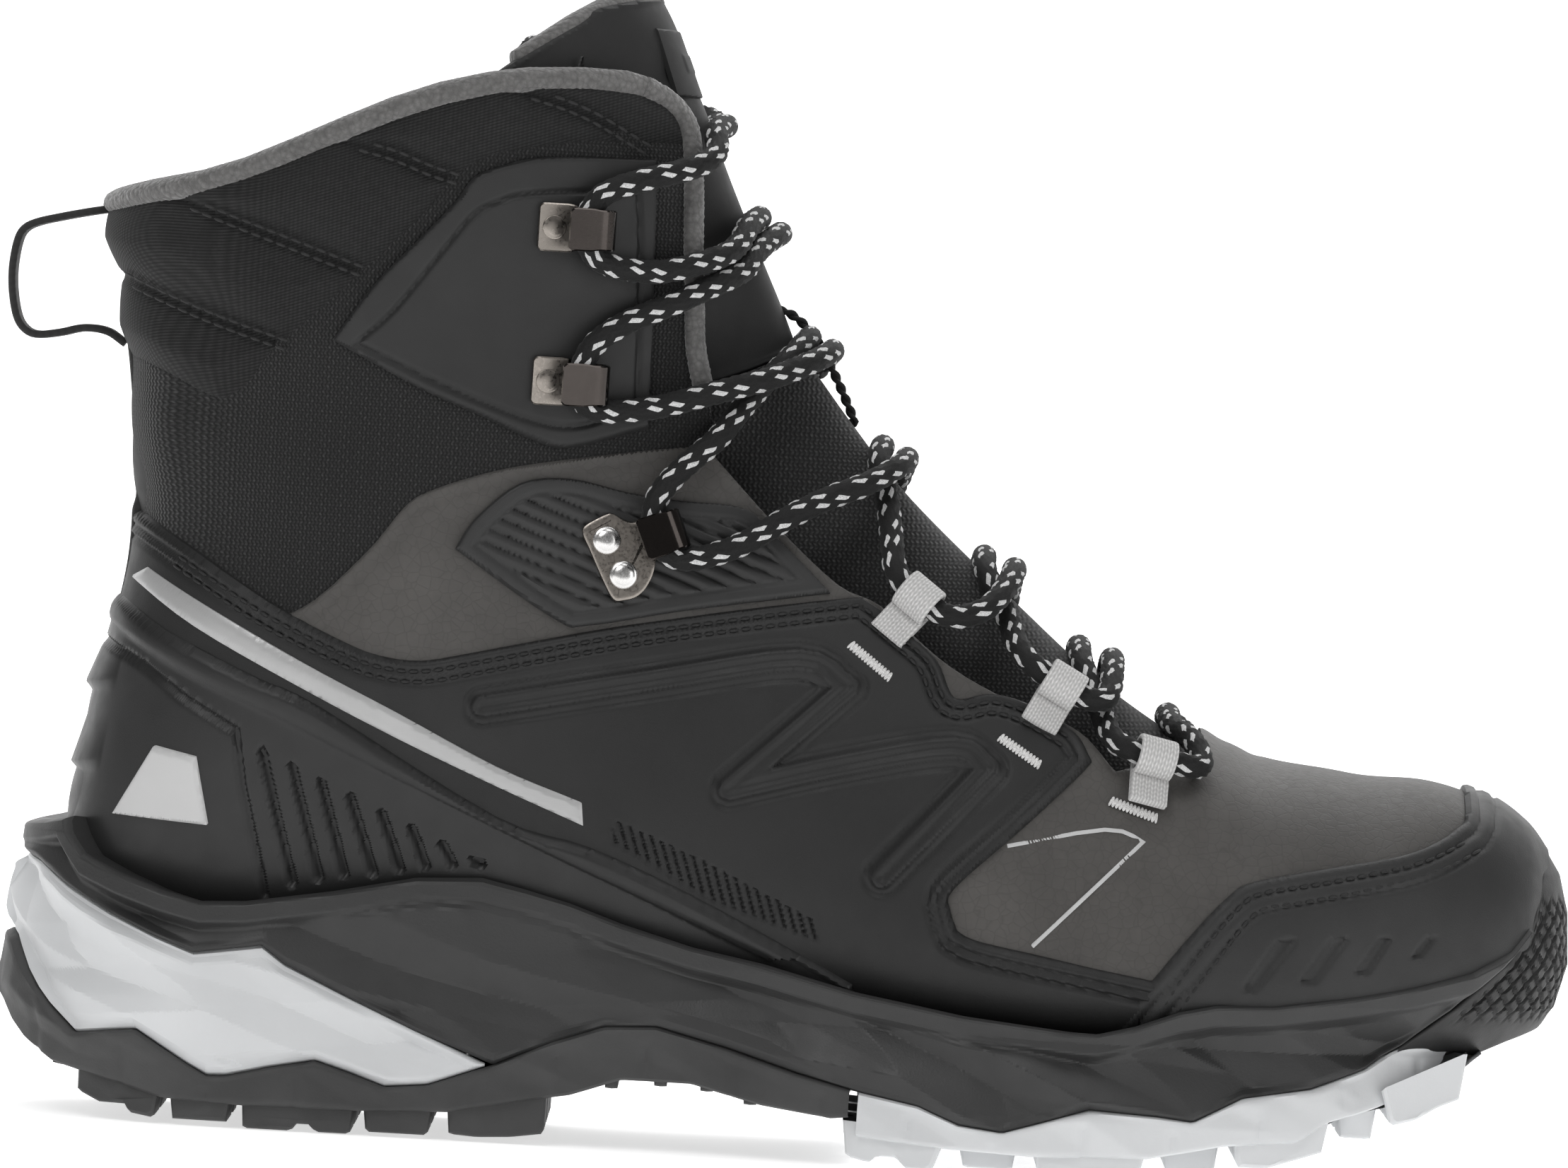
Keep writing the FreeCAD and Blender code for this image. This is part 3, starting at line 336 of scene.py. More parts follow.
def piece(name, points, faces, look, body="root", replaced=(), weave=None, sharp=40, looks=None):
    """A finished mesh in the frame, riding on a body. Points in millimetres; looks gives a look per face."""
    me = bpy.data.meshes.new(name)
    me.from_pydata(metres(points).tolist(), [], faces if isinstance(faces, list) else faces.tolist())
    names = [look] if isinstance(look, str) else list(look)
    for n in names:
        me.materials.append(MATERIALS[n])
    if looks is not None:
        me.polygons.foreach_set("material_index", np.asarray(looks, np.int32))
    if weave is not None:
        at = me.attributes.new("weave", "FLOAT_VECTOR", "POINT")
        flat = np.zeros((len(points), 3), np.float32)
        flat[:, :2] = weave
        at.data.foreach_set("vector", flat.ravel())
    me.polygons.foreach_set("use_smooth", np.ones(len(me.polygons), bool))
    me.update()
    me.set_sharp_from_angle(angle=math.radians(sharp))
    ob = bpy.data.objects.new(name, me)
    bpy.context.scene.collection.objects.link(ob)
    if body:
        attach(ob, BODY[body])
    if replaced:
        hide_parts(*replaced)
    return ob


BODY = {"root": "boot", "tongue": "tongue", "footbed": "footbed", "loop": "pull_loop"}


def weave_of(p, u, w, top):
    """Thread coordinates in millimetres: level rows on the walls, rows across on the top of the foot."""
    if top:
        return np.stack((w * np.interp(u, TABLE_U, GIRTH), np.interp(u, TABLE_U, MEAN_RUN)), -1)
    u, w = np.broadcast_arrays(u, w)
    side = np.sign(w)
    back = step_up(48.0 - p[..., 0], 34.0)
    around = (p[..., 0] - 15) * (1 - back) + np.abs(p[..., 1]) * back
    return np.stack((around * np.where(side == 0, 1, side), p[..., 2]), -1)


def rim_of(faces):
    """Directed edges that only one face uses."""
    edges = []
    for f in faces:
        edges += zip(f, f[1:] + f[:1])
    seen = set(edges)
    return [(a, b) for a, b in edges if (b, a) not in seen]


ROUGH_CELL = 3           # first look for the part of the body that a sheet covers
OUTLINE_MARGIN = 4
SLIDE = 0.62             # how far, in cells, a point may slide onto the outline
RELIEF_MARGIN = 1.2      # from the edge of a sheet to where its relief has its full depth


def cover(name, outline, low, thick, look, slot, replaced, span=(0, LAST), around=(-1, 1), cell=0.8,
          round_edge=0.7, relief=None, surface=None, body="root", top=False, sink=0.5,
          smooth=True, sharp=40, inward=False):
    """A sheet of the upper laid on the body: crisp along its outline, edges rounded down, with relief."""
    surface = surface or upper
    out = -1 if inward else 1
    outlines = outline if isinstance(outline, dict) else {LATERAL: outline, MEDIAL: outline}
    lines = {side: smooth_line(o) if smooth else np.array(o, float) for side, o in outlines.items()}

    def edge_of(x, z, w):
        if outlines[LATERAL] is outlines[MEDIAL]:
            best, nx, nz, inside = nearest(x, z, lines[MEDIAL], True)
        else:
            one, two = nearest(x, z, lines[LATERAL], True), nearest(x, z, lines[MEDIAL], True)
            best, nx, nz, inside = (np.where(w < 0, a, b) for a, b in zip(one, two))
        return np.where(inside, 1, -1) * np.sqrt(best), nx, nz

    s0, s1 = np.interp(span, TABLE_U, SPAN)
    rough = np.interp(np.linspace(s0, s1, max(6, int((s1 - s0) / ROUGH_CELL))), SPAN, TABLE_U)
    girth = np.interp(rough, TABLE_U, GIRTH).max()
    ws = np.linspace(*around, max(6, int(girth * (around[1] - around[0]) / ROUGH_CELL)))
    p = surface(rough[:, None], ws[None], low + out * thick)
    d = edge_of(p[..., 0], p[..., 2], ws[None] + 0 * rough[:, None])[0]
    rows, cols = np.where(d > -OUTLINE_MARGIN)
    u0, u1 = rough[max(rows.min() - 1, 0)], rough[min(rows.max() + 1, len(rough) - 1)]
    w0, w1 = ws[max(cols.min() - 1, 0)], ws[min(cols.max() + 1, len(ws) - 1)]
    s0, s1 = np.interp((u0, u1), TABLE_U, SPAN)
    us = np.interp(np.linspace(s0, s1, int((s1 - s0) / cell) + 2), SPAN, TABLE_U)
    girth = np.interp(us, TABLE_U, GIRTH).max()
    ws = np.linspace(w0, w1, int(girth * (w1 - w0) / cell) + 2)
    u, w = (a.copy() for a in np.meshgrid(us, ws, indexing="ij"))
    p = surface(u, w, low + out * thick)
    x, z = p[..., 0], p[..., 2]
    d, nx, nz = edge_of(x, z, w)

    # Points near the outline slide along the surface onto it
    du = np.gradient(us)[:, None] * np.ones_like(u)
    dw = np.full_like(u, ws[1] - ws[0])
    xu, xw = np.gradient(x)
    zu, zw = np.gradient(z)
    det = xu * zw - xw * zu
    det = np.where(np.abs(det) < 1e-3, np.nan, det)
    gx, gz = nx - x, nz - z
    su = (gx * zw - gz * xw) / det
    sw = (gz * xu - gx * zu) / det
    near = (np.maximum(np.abs(su), np.abs(sw)) < SLIDE) & ~np.isnan(det)
    near[(0, -1), :] = False
    near[:, (0, -1)] = False
    u = np.where(near, u + np.where(near, su, 0) * du, u)
    w = np.where(near, w + np.where(near, sw, 0) * dw, w)
    d = np.where(near, 0.0, d)
    keep = d >= 0

    height = thick - round_off(d, min(round_edge, thick))
    if relief is not None:
        p = surface(u, w, low + out * thick)
        raised = relief(p[..., 0], p[..., 2], np.maximum(d, 0), p[..., 1])
        height = height + raised * np.clip(d / RELIEF_MARGIN, 0, 1)
    p = surface(u, w, low + out * height)
    index = np.arange(u.size).reshape(u.shape)
    a, b, c, e = index[:-1, :-1], index[1:, :-1], index[1:, 1:], index[:-1, 1:]
    quads = np.stack((a, b, c, e), -1).reshape(-1, 4)
    ok = keep.ravel()[quads]
    count = ok.sum(1)
    faces = quads[count == 4].tolist()
    for q, k in zip(quads[count == 3], ok[count == 3]):
        faces.append([int(v) for v, good in zip(q, k) if good])
    rim = rim_of(faces)
    used = np.unique(np.concatenate([np.ravel(f) for f in faces]))
    under = {}
    points = p.reshape(-1, 3)
    base = surface(u, w, low - out * sink).reshape(-1, 3)
    extra = []
    for v in sorted({v for edge in rim for v in edge}):
        under[v] = len(points) + len(extra)
        extra.append(base[v])
    for v0, v1 in rim:
        faces.append([v1, v0, under[v0], under[v1]])
    points = np.concatenate((points, np.array(extra).reshape(-1, 3)))
    uw = np.stack((u.ravel(), w.ravel()), -1)
    uw = np.concatenate((uw, uw[list(under)]))
    keep_list = np.concatenate((used, np.arange(u.size, len(points))))
    renumber = np.full(len(points), -1)
    renumber[keep_list] = np.arange(len(keep_list))
    faces = [[int(renumber[v]) for v in f] for f in faces]
    if inward:
        faces = [f[::-1] for f in faces]
    points = points[keep_list]
    uw = uw[keep_list]
    weave = weave_of(points, uw[:, 0], uw[:, 1], top)
    return piece(name, points, faces, look, body, replaced, weave, sharp)


def pair(name, outline, low, thick, look, slot, relief=None, **more):
    """The same sheet on both sides of the boot."""
    for word, side in SIDES:
        node = "%s_%s" % (name, word)
        cover(node + "_skin", outline, low, thick, look, slot, (node,), around=HALF[side], relief=relief, **more)


# ---------------------------------------------------------------- stitching

def resample(points, pitch):
    """Points at nearly equal steps along a line."""
    p = np.array(points, float)
    run = run_of(p)
    count = max(2, int(round(run[-1] / pitch)) + 1)
    at = np.linspace(0, run[-1], count)
    return np.stack([np.interp(at, run, p[:, k]) for k in range(p.shape[1])], -1)


BEAD_RING = 6
BEAD_FLAT = 0.75         # height of a thread as a share of its width
BEAD_ROWS = ((0.0, 0.45), (0.14, 0.9), (0.5, 1.08), (0.86, 0.9), (1.0, 0.45))


def beads(name, pairs, radius, look, replaced=()):
    """Small rounded threads from point to point, in one mesh. Each pair is start, end and normal."""
    points, faces = [], []
    for start, end, normal in pairs:
        start, end, normal = np.array(start), np.array(end), np.array(normal)
        along = end - start
        length = np.linalg.norm(along)
        if length < 1e-6:
            continue
        along /= length
        across = unit(np.cross(along, normal))
        up = np.cross(across, along)
        faces += tube(len(BEAD_ROWS), BEAD_RING, len(points))
        for share, size in BEAD_ROWS:
            centre = start + along * length * share + up * radius * (0.25 * math.sin(math.pi * share))
            for k in range(BEAD_RING):
                t = TAU * k / BEAD_RING
                points.append(centre + (across * math.cos(t) + up * math.sin(t) * BEAD_FLAT) * radius * size)
    piece(name, np.array(points), faces, look, replaced=replaced, sharp=70)


def stitch_pairs(line, grow, side, pitch=3.0, gap=0.8, closed=False):
    """Stitches along a side-view line: start, end and normal of each."""
    spots = resample(smooth_line(line, closed), pitch)
    u, angle = locate(spots[:, 0], spots[:, 1], grow, side)
    p, q = body_point(u, angle, grow), body_point(u, angle, grow + 1)
    out = []
    for k in range(len(p) - 1):
        run = p[k + 1] - p[k]
        length = np.linalg.norm(run)
        if length > 3 * pitch or length < 0.3 * pitch:
            continue
        cut = run * (gap / 2 / length)
        out.append((p[k] + cut, p[k + 1] - cut, q[k] - p[k]))
    return out


def joined(name, parts, look, replaced, body="root", sharp=35):
    """One piece of several lots of points and faces."""
    points, faces, base = [], [], 0
    for p, f in parts:
        points.append(p)
        faces += [[v + base for v in q] for q in f]
        base += len(p)
    return piece(name, np.concatenate(points), faces, look, body, replaced, sharp=sharp)


# ---------------------------------------------------------------- looks

class Look:
    """A procedural material built up node by node."""

    def __init__(self, name, rough=0.6, metal=0.0, specular=0.5, sheen=0.0, coat=0.0):
        self.mat = bpy.data.materials.new(name)
        self.mat.use_nodes = True
        self.tree = self.mat.node_tree
        self.tree.nodes.clear()
        self.shader = self.tree.nodes.new("ShaderNodeBsdfPrincipled")
        out = self.tree.nodes.new("ShaderNodeOutputMaterial")
        self.tree.links.new(self.shader.outputs[0], out.inputs[0])
        for socket, value in (("Roughness", rough), ("Metallic", metal), ("Specular IOR Level", specular),
                              ("Sheen Weight", sheen), ("Coat Weight", coat)):
            self.shader.inputs[socket].default_value = value
        self.where = self.tree.nodes.new("ShaderNodeTexCoord").outputs["Object"]
        MATERIALS[name] = self.mat

    def node(self, kind, values=(), **settings):
        node = self.tree.nodes.new("ShaderNode" + kind)
        for key, value in settings.items():
            setattr(node, key, value)
        for socket, value in dict(values).items():
            if hasattr(value, "links"):
                self.tree.links.new(value, node.inputs[socket])
            else:
                node.inputs[socket].default_value = value
        return node

    def threads(self):
        """Thread coordinates along and across, in millimetres."""
        at = self.node("Attribute", attribute_name="weave").outputs["Vector"]
        split = self.node("SeparateXYZ", {0: at})
        return split.outputs[0], split.outputs[1]

    def maths(self, how, a, b=0.0):
        return self.node("Math", {0: a, 1: b}, operation=how).outputs[0]

    def sine(self, value, period, phase=0.0):
        """A wave from 0 to 1."""
        turn = self.maths("MULTIPLY_ADD", value, TAU / period)
        turn.node.inputs[2].default_value = phase
        wave = self.maths("SINE", turn)
        half = self.maths("MULTIPLY_ADD", wave, 0.5)
        half.node.inputs[2].default_value = 0.5
        return half

    def noise(self, size, detail=3.0, rough=0.55, vector=None, distortion=0.0):
        """Noise whose features are about size metres, or thread units, across."""
        return self.node("TexNoise", {"Vector": vector or self.where, "Scale": 1 / size, "Detail": detail,
                                      "Roughness": rough, "Distortion": distortion}).outputs["Fac"]

    def cells(self, size, feature="DISTANCE_TO_EDGE", jitter=1.0, vector=None):
        node = self.node("TexVoronoi", {"Vector": vector or self.where, "Scale": 1 / size,
                                        "Randomness": jitter}, feature=feature)
        return node.outputs["Distance"]

    def mix(self, share, a, b):
        """Colour between a and b."""
        return self.node("Mix", {0: share, 6: (*a, 1) if isinstance(a, tuple) else a,
                                 7: (*b, 1) if isinstance(b, tuple) else b}, data_type="RGBA").outputs[2]

    def range(self, value, low, high, to_low=0.0, to_high=1.0):
        return self.node("MapRange", {0: value, 1: low, 2: high, 3: to_low, 4: to_high}).outputs[0]

    def colour(self, value):
        if isinstance(value, tuple):
            self.shader.inputs["Base Color"].default_value = (*value, 1)
        else:
            self.tree.links.new(value, self.shader.inputs["Base Color"])
        return self

    def roughness(self, value):
        self.tree.links.new(value, self.shader.inputs["Roughness"])
        return self

    def bumps(self, *layers):
        """Each layer is height, how deep in millimetres, and strength."""
        normal = None
        for height, deep, strength in layers:
            values = {"Height": height, "Distance": deep / 1000, "Strength": strength}
            if normal is not None:
                values["Normal"] = normal
            normal = self.node("Bump", values).outputs[0]
        self.tree.links.new(normal, self.shader.inputs["Normal"])
        return self


def grey(value, warm=0.0):
    return (value * (1 + warm), value, value * (1 - warm))


def soft_plastic(name, shade, rough, grain=0.35, depth=0.05, worn=0.25, specular=0.4, warm=0.0):
    """Matte moulded or coated surface with a fine grain and slightly uneven shade."""
    k = Look(name, rough, specular=specular)
    blotch = k.noise(0.03, 4)
    dark, light = (grey(shade * (1 + worn * way / 2), warm) for way in (-1, 1))
    k.colour(k.mix(k.range(blotch, 0.35, 0.7), dark, light))
    k.roughness(k.range(k.noise(0.006, 5), 0.3, 0.7, rough - 0.06, rough + 0.07))
    grain_height = k.noise(grain / 1000, 2, 0.6)
    pores = k.cells(grain * 1.6 / 1000)
    k.bumps((grain_height, depth, 0.7), (pores, depth * 0.7, 0.45))
    return k


def leather(name, shade, warm):
    k = Look(name, 0.6, specular=0.35, sheen=0.08)
    broad = k.noise(0.025, 4, 0.6)
    fine = k.noise(0.0016, 4, 0.65)
    tone = k.maths("ADD", k.maths("MULTIPLY", broad, 0.65), k.maths("MULTIPLY", fine, 0.35))
    base = k.mix(k.range(tone, 0.35, 0.66), grey(shade * 0.78, warm), grey(shade * 1.2, warm))
    bent = k.node("VectorMath", {0: k.where, 1: k.node("VectorMath", {0: k.node(
        "TexNoise", {"Vector": k.where, "Scale": 300.0, "Detail": 2.0}).outputs["Color"], 3: 0.0011},
        operation="SCALE").outputs[0]}, operation="ADD").outputs[0]
    crack = k.cells(0.0021, vector=bent)
    crease = k.range(crack, 0.0, 0.09)
    k.colour(k.mix(k.range(crack, 0.0, 0.06, 0.35, 0.0), base, grey(shade * 0.55, warm)))
    k.roughness(k.range(fine, 0.3, 0.7, 0.52, 0.68))
    k.bumps((crease, 0.06, 0.5), (fine, 0.09, 0.6), (broad, 0.8, 0.25))
    return k


def knit(name, dark, light, across, along, deep=0.25, rough=0.85, dots=0.0, sheen=0.15):
    """Looped fabric: rows of small stitches, with lighter ones scattered in a pattern."""
    k = Look(name, rough, specular=0.25, sheen=sheen)
    x, y = k.threads()
    sway = k.sine(y, along * 2)
    column = k.sine(k.maths("ADD", x, k.maths("MULTIPLY", sway, across * 0.35)), across)
    row = k.sine(y, along)
    loop = k.maths("MULTIPLY", column, k.range(row, 0, 1, 0.45, 1.0))
    fuzz = k.noise(0.0004, 3, 0.7)
    tone = k.maths("MULTIPLY", loop, k.range(fuzz, 0.3, 0.7, 0.5, 1.2))
    if dots:
        a = k.sine(k.maths("ADD", x, y), dots)
        b = k.sine(k.maths("SUBTRACT", x, y), dots, 1.1)
        spot = k.range(k.maths("MULTIPLY", a, b), 0.45, 0.8)
        lit = k.maths("MULTIPLY", k.maths("MULTIPLY", spot, loop), 0.75)
        tone = k.maths("ADD", k.maths("MULTIPLY", tone, 0.55), lit)
    k.colour(k.mix(tone, grey(dark), grey(light)))
    k.bumps((loop, deep, 0.9), (fuzz, 0.1, 0.5))
    return k


def ribbed(name, dark, light, across, along, deep=0.12, rough=0.75, slant=0.35):
    """Fine twill: close ribs crossed by finer ones."""
    k = Look(name, rough, specular=0.22, sheen=0.08)
    x, y = k.threads()
    rib = k.sine(k.maths("ADD", y, k.maths("MULTIPLY", x, slant)), along)
    thread = k.sine(x, across)
    weave = k.maths("MULTIPLY", k.range(rib, 0, 1, 0.25, 1.0), k.range(thread, 0, 1, 0.55, 1.0))
    fuzz = k.noise(0.0012, 4, 0.65)
    k.colour(k.mix(k.maths("MULTIPLY", weave, k.range(fuzz, 0.3, 0.7, 0.6, 1.15)), grey(dark), grey(light)))
    k.bumps((weave, deep, 0.8), (fuzz, 0.06, 0.5))
    return k


def fleece(name, shade, warm=0.02):
    k = Look(name, 0.95, specular=0.15, sheen=0.5)
    tuft = k.cells(0.0011, "F1", 0.9)
    fuzz = k.noise(0.0005, 4, 0.7)
    k.colour(k.mix(k.maths("MULTIPLY", k.range(tuft, 0.1, 0.8, 1.0, 0.45), k.range(fuzz, 0.3, 0.7, 0.65, 1.2)),
                   grey(shade * 0.45, warm), grey(shade * 1.3, warm)))
    k.bumps((tuft, -0.35, 0.8), (fuzz, 0.15, 0.8))
    return k


def metal(name, shade, rough, brushed):
    k = Look(name, rough, metal=1.0)
    k.colour(k.mix(k.noise(0.004, 4), (shade[0] * 0.75, shade[1] * 0.75, shade[2] * 0.75), shade))
    scratch = k.noise(0.0006, 3, 0.6, distortion=brushed)
    k.roughness(k.range(scratch, 0.3, 0.7, rough * 0.75, rough * 1.4))
    k.bumps((scratch, 0.012, 0.35))
    return k


def yarn(name, shade, rough=0.7, warm=0.0):
    k = Look(name, rough, specular=0.25, sheen=0.05)
    strand = k.noise(0.00025, 3, 0.7)
    k.colour(k.mix(k.range(strand, 0.3, 0.7), grey(shade * 0.6, warm), grey(shade * 1.35, warm)))
    k.bumps((strand, 0.08, 0.8))
    return k


def webbing(name, shade, across=0.62, along=1.1, warm=0.01):
    k = Look(name, 0.85, specular=0.25, sheen=0.2)
    x, y = k.threads()
    rib = k.sine(x, across)
    pick = k.sine(k.maths("ADD", y, k.maths("MULTIPLY", k.sine(x, across * 2), along * 0.5)), along)
    weave = k.maths("MULTIPLY", k.range(rib, 0, 1, 0.35, 1.0), k.range(pick, 0, 1, 0.5, 1.0))
    k.colour(k.mix(weave, grey(shade * 0.5, warm), grey(shade * 1.12, warm)))
    k.bumps((weave, 0.2, 0.9), (k.noise(0.0003, 3), 0.05, 0.5))
    return k


def make_looks():
    leather("nubuck", 0.060, 0.06)
    soft_plastic("overlay", 0.0165, 0.50, 0.30, 0.05, specular=0.32)
    soft_plastic("toe_overlay", 0.026, 0.52, 0.32, 0.06, specular=0.32)
    soft_plastic("cage", 0.021, 0.42, 0.28, 0.03, specular=0.36)
    soft_plastic("patch_film", 0.020, 0.50, 0.26, 0.04, specular=0.32)
    soft_plastic("hook_patch", 0.026, 0.48, 0.28, 0.03, specular=0.34)
    soft_plastic("black_rubber", 0.052, 0.58, 0.45, 0.07, 0.4)
    soft_plastic("bumper_rubber", 0.017, 0.55, 0.4, 0.06, 0.3)
    soft_plastic("midsole_foam", 0.034, 0.46, 0.5, 0.07, 0.2, specular=0.4)
    soft_plastic("grey_rubber", 0.66, 0.42, 0.6, 0.03, 0.06, 0.45, -0.015)
    soft_plastic("badge_plastic", 0.55, 0.42, 0.4, 0.02, 0.05)
    soft_plastic("aglet_plastic", 0.03, 0.3, 0.5, 0.01)
    soft_plastic("board_fibre", 0.30, 0.8, 0.5, 0.1, 0.3, 0.3, 0.15)
    soft_plastic("nylon", 0.06, 0.45, 0.6, 0.03)
    soft_plastic("foam", 0.22, 0.9, 0.9, 0.2, 0.2, 0.2)
    soft_plastic("neoprene", 0.020, 0.62, 0.22, 0.03, 0.2, 0.3)
    knit("mesh", 0.006, 0.045, 0.75, 0.62, 0.26, dots=1.9)
    knit("tongue_mesh", 0.008, 0.055, 0.95, 0.75, 0.32, dots=2.3)
    knit("lining", 0.030, 0.085, 0.8, 0.8, 0.15)
    ribbed("collar_knit", 0.003, 0.026, 0.85, 0.6, 0.2)
    ribbed("footbed_cloth", 0.03, 0.08, 0.7, 0.7, slant=0.0)
    fleece("fleece", 0.118)
    metal("hook_metal", (0.065, 0.057, 0.053), 0.13, 0.6)
    metal("plate_metal", (0.33, 0.30, 0.27), 0.30, 0.3)
    metal("rivet_metal", (0.78, 0.77, 0.76), 0.25, 2.0)
    yarn("thread", 0.022, 0.6)
    yarn("light_thread", 0.62, 0.7, 0.01)
    yarn("lace_black", 0.010)
    yarn("lace_fleck", 0.62, 0.75)
    webbing("grey_webbing", 0.62)
    webbing("black_webbing", 0.035, 0.9, 1.5)
    k = Look("reflective", 0.34, metal=0.25, specular=0.6)
    bead = k.cells(0.00032, "F1", 0.3)
    k.colour(k.mix(k.noise(0.02, 3), grey(0.36), grey(0.46)))
    k.bumps((bead, 0.02, 0.5))
    k = Look("thin_line", 0.4, specular=0.5)
    k.colour(k.mix(k.noise(0.004, 3), grey(0.42), grey(0.56)))
    k.bumps((k.noise(0.0004, 2), 0.02, 0.4))
    k = Look("floor", 0.7, specular=0.2)
    k.shader.inputs["Emission Color"].default_value = (1, 1, 1, 1)
    far = k.node("VectorMath", {0: k.where}, operation="LENGTH").outputs["Value"]
    glow = k.range(far, 0.35, 0.9, 0.62, 1.0)     # dimmer within 0.35 m of the boot, full beyond 0.9 m
    k.tree.links.new(glow, k.shader.inputs["Emission Strength"])
    k.colour(k.mix(k.noise(0.3, 2), grey(0.86), grey(0.9)))
    k.bumps((k.noise(0.002, 2), 0.02, 0.1))


make_looks()


# ---------------------------------------------------------------- outlines of the upper, in side view

MID_TOP = (
    (14.6, 51.1), (22.5, 48.1), (31.6, 45.4), (39.4, 43.7), (48.3, 44.2), (65.3, 47.1), (81.1, 50.6),
    (93.8, 51.3), (102.0, 49.6), (110.9, 47.4), (121.2, 44.0), (134.9, 40.4), (148.5, 38.1),
    (166.6, 33.8), (187.0, 30.7), (208.7, 28.9), (214.1, 28.8), (221.7, 30.8), (230.0, 34.0),
    (236.8, 35.6), (248.3, 36.2), (263.6, 38.7), (275.0, 40.9), (286.4, 43.9), (293.8, 48.2),
    (297.6, 52.8),
)
CAGE_TOP = ((14.0, 101.0), (18.1, 100.6), (28.0, 95.0), (36.3, 91.4), (47.8, 86.8), (60.5, 82.0), (95.2, 62.7),
            (113.7, 57.7), (134.4, 49.4), (155.2, 39.5), (166.3, 33.8))
QUARTER_TOP = ((132.3, 137.7), (121.1, 136.2), (111.3, 134.5), (96.7, 131.6), (88.0, 129.1), (79.3, 125.7),
               (74.6, 122.4), (67.3, 112.7), (54.7, 100.9), (40.0, 99.0), (20.0, 106.0), (2.0, 110.0))
THROAT = ((134.6, 135.3), (138.0, 131.8), (147.6, 122.3), (159.4, 112.3), (167.9, 108.7), (179.7, 99.3),
          (190.7, 93.3), (204.0, 88.5))
COLLAR_LOW = ((0.0, 151.0), (18.2, 147.2), (25.0, 144.7), (36.1, 140.4), (39.1, 140.6), (43.8, 144.3),
              (47.4, 149.9), (60.4, 162.5), (74.3, 177.1), (80.8, 185.3), (84.5, 188.5), (89.3, 190.8),
              (98.0, 192.8), (107.8, 194.3), (125.3, 194.8))
COLLAR_EDGE = ((0.0, 177.0), (14.3, 177.0), (23.1, 178.5), (34.7, 182.1), (45.3, 185.7), (53.9, 189.7),
               (63.5, 193.7), (73.1, 198.2), (82.8, 201.7), (92.5, 203.8), (102.2, 205.3), (112.1, 205.4),
               (117.0, 204.7), (121.1, 203.5), (124.2, 199.7))
EDGE_FRONT = ((129.0, 185.2), (129.1, 175.4), (129.7, 165.6), (129.9, 156.7))
MESH_FRONT = ((131.4, 152.2), (132.8, 145.4), (133.6, 140.6))
OVERLAY_TOP = ((4.0, 124.0), (20.9, 117.2), (31.8, 111.6), (40.7, 106.5), (51.3, 100.7), (64.4, 95.1),
               (71.4, 93.0), (79.3, 92.5), (89.0, 94.6), (111.6, 100.2), (130.0, 104.2), (160.6, 109.8),
               (165.2, 109.6), (172.4, 104.7), (179.1, 99.3), (182.2, 93.0), (184.4, 91.8), (190.1, 93.2),
               (197.1, 91.8), (206.5, 87.0), (210.3, 81.4), (207.0, 77.5), (197.0, 66.8), (185.0, 54.6),
               (184.5, 50.2), (186.1, 46.0), (191.6, 44.1), (213.4, 40.6), (225.9, 38.6), (223.0, 32.5))
TOE_TOP = ((217.9, 29.8), (222.8, 37.1), (232.1, 49.9), (237.9, 56.8), (242.3, 59.8), (254.4, 62.8),
           (269.7, 66.0), (277.2, 68.7), (282.4, 72.1), (284.5, 75.3), (284.0, 90.0))
PATCH = ((58.5, 153.5), (66.2, 164.8), (74.5, 174.1), (81.0, 181.4), (84.6, 186.6), (89.5, 189.0), (98.3, 191.4),
         (119.9, 192.4), (120.6, 174.9), (121.3, 140.5), (106.3, 135.8), (99.4, 136.7), (89.3, 140.5),
         (76.2, 145.2))
PATCH_GROOVE = ((63.4, 153.3), (70.4, 160.1), (79.5, 172.5), (85.0, 179.7), (89.8, 182.4), (95.6, 184.2),
                (116.2, 185.9), (117.3, 174.7), (118.4, 145.2), (109.0, 140.2), (99.2, 140.1), (81.1, 146.0))
HOOK_PATCH = ((84.9, 114.7), (88.5, 120.8), (96.9, 128.2), (106.7, 129.7), (118.0, 127.7), (128.7, 126.7),
              (140.6, 126.0), (147.6, 120.4), (158.0, 110.8), (130.0, 105.4), (111.6, 101.4), (105.0, 102.2))
STRIPE = ((21.0, 105.0), (34.8, 96.4), (55.1, 86.6), (75.3, 77.4), (95.5, 69.0), (112.6, 62.4),
          (112.1, 66.9), (95.2, 72.8), (75.0, 82.4), (54.8, 91.6), (34.5, 101.7), (24.3, 107.0))
BADGE = ((20.5, 58.8), (28.0, 72.5), (36.5, 71.0), (39.5, 58.0))
QUILT_LINES = (
    ((14.0, 183.0), (27.0, 179.2), (37.0, 175.9), (50.0, 171.7), (64.1, 167.1)),
    ((4.0, 168.5), (13.5, 164.7), (24.1, 160.4), (36.2, 156.1), (50.2, 152.0)),
    ((52.0, 194.5), (59.7, 192.0), (68.7, 190.0), (75.7, 187.5), (81.7, 185.9)),
    ((86.0, 205.5), (92.5, 203.8), (100.5, 201.8), (107.5, 199.2), (118.0, 193.6)),
)
RIDGE = ((92.0, 84.6), (124.0, 91.4), (152.5, 97.0), (162.4, 92.4), (140.5, 71.4), (162.0, 77.4), (183.5, 81.9),
         (190.3, 78.4), (171.0, 56.5))
RIB_STRIP = ((117.6, 64.7), (118.5, 59.4), (137.2, 49.6), (160.4, 42.3), (159.0, 47.1), (136.8, 57.1))
CAGE_RIM = ((8.0, 101.5), (14.5, 98.5), (24.4, 92.6), (36.3, 86.8), (51.8, 80.8), (70.3, 72.6), (103.3, 58.4),
            (125.0, 49.5), (150.0, 39.0))
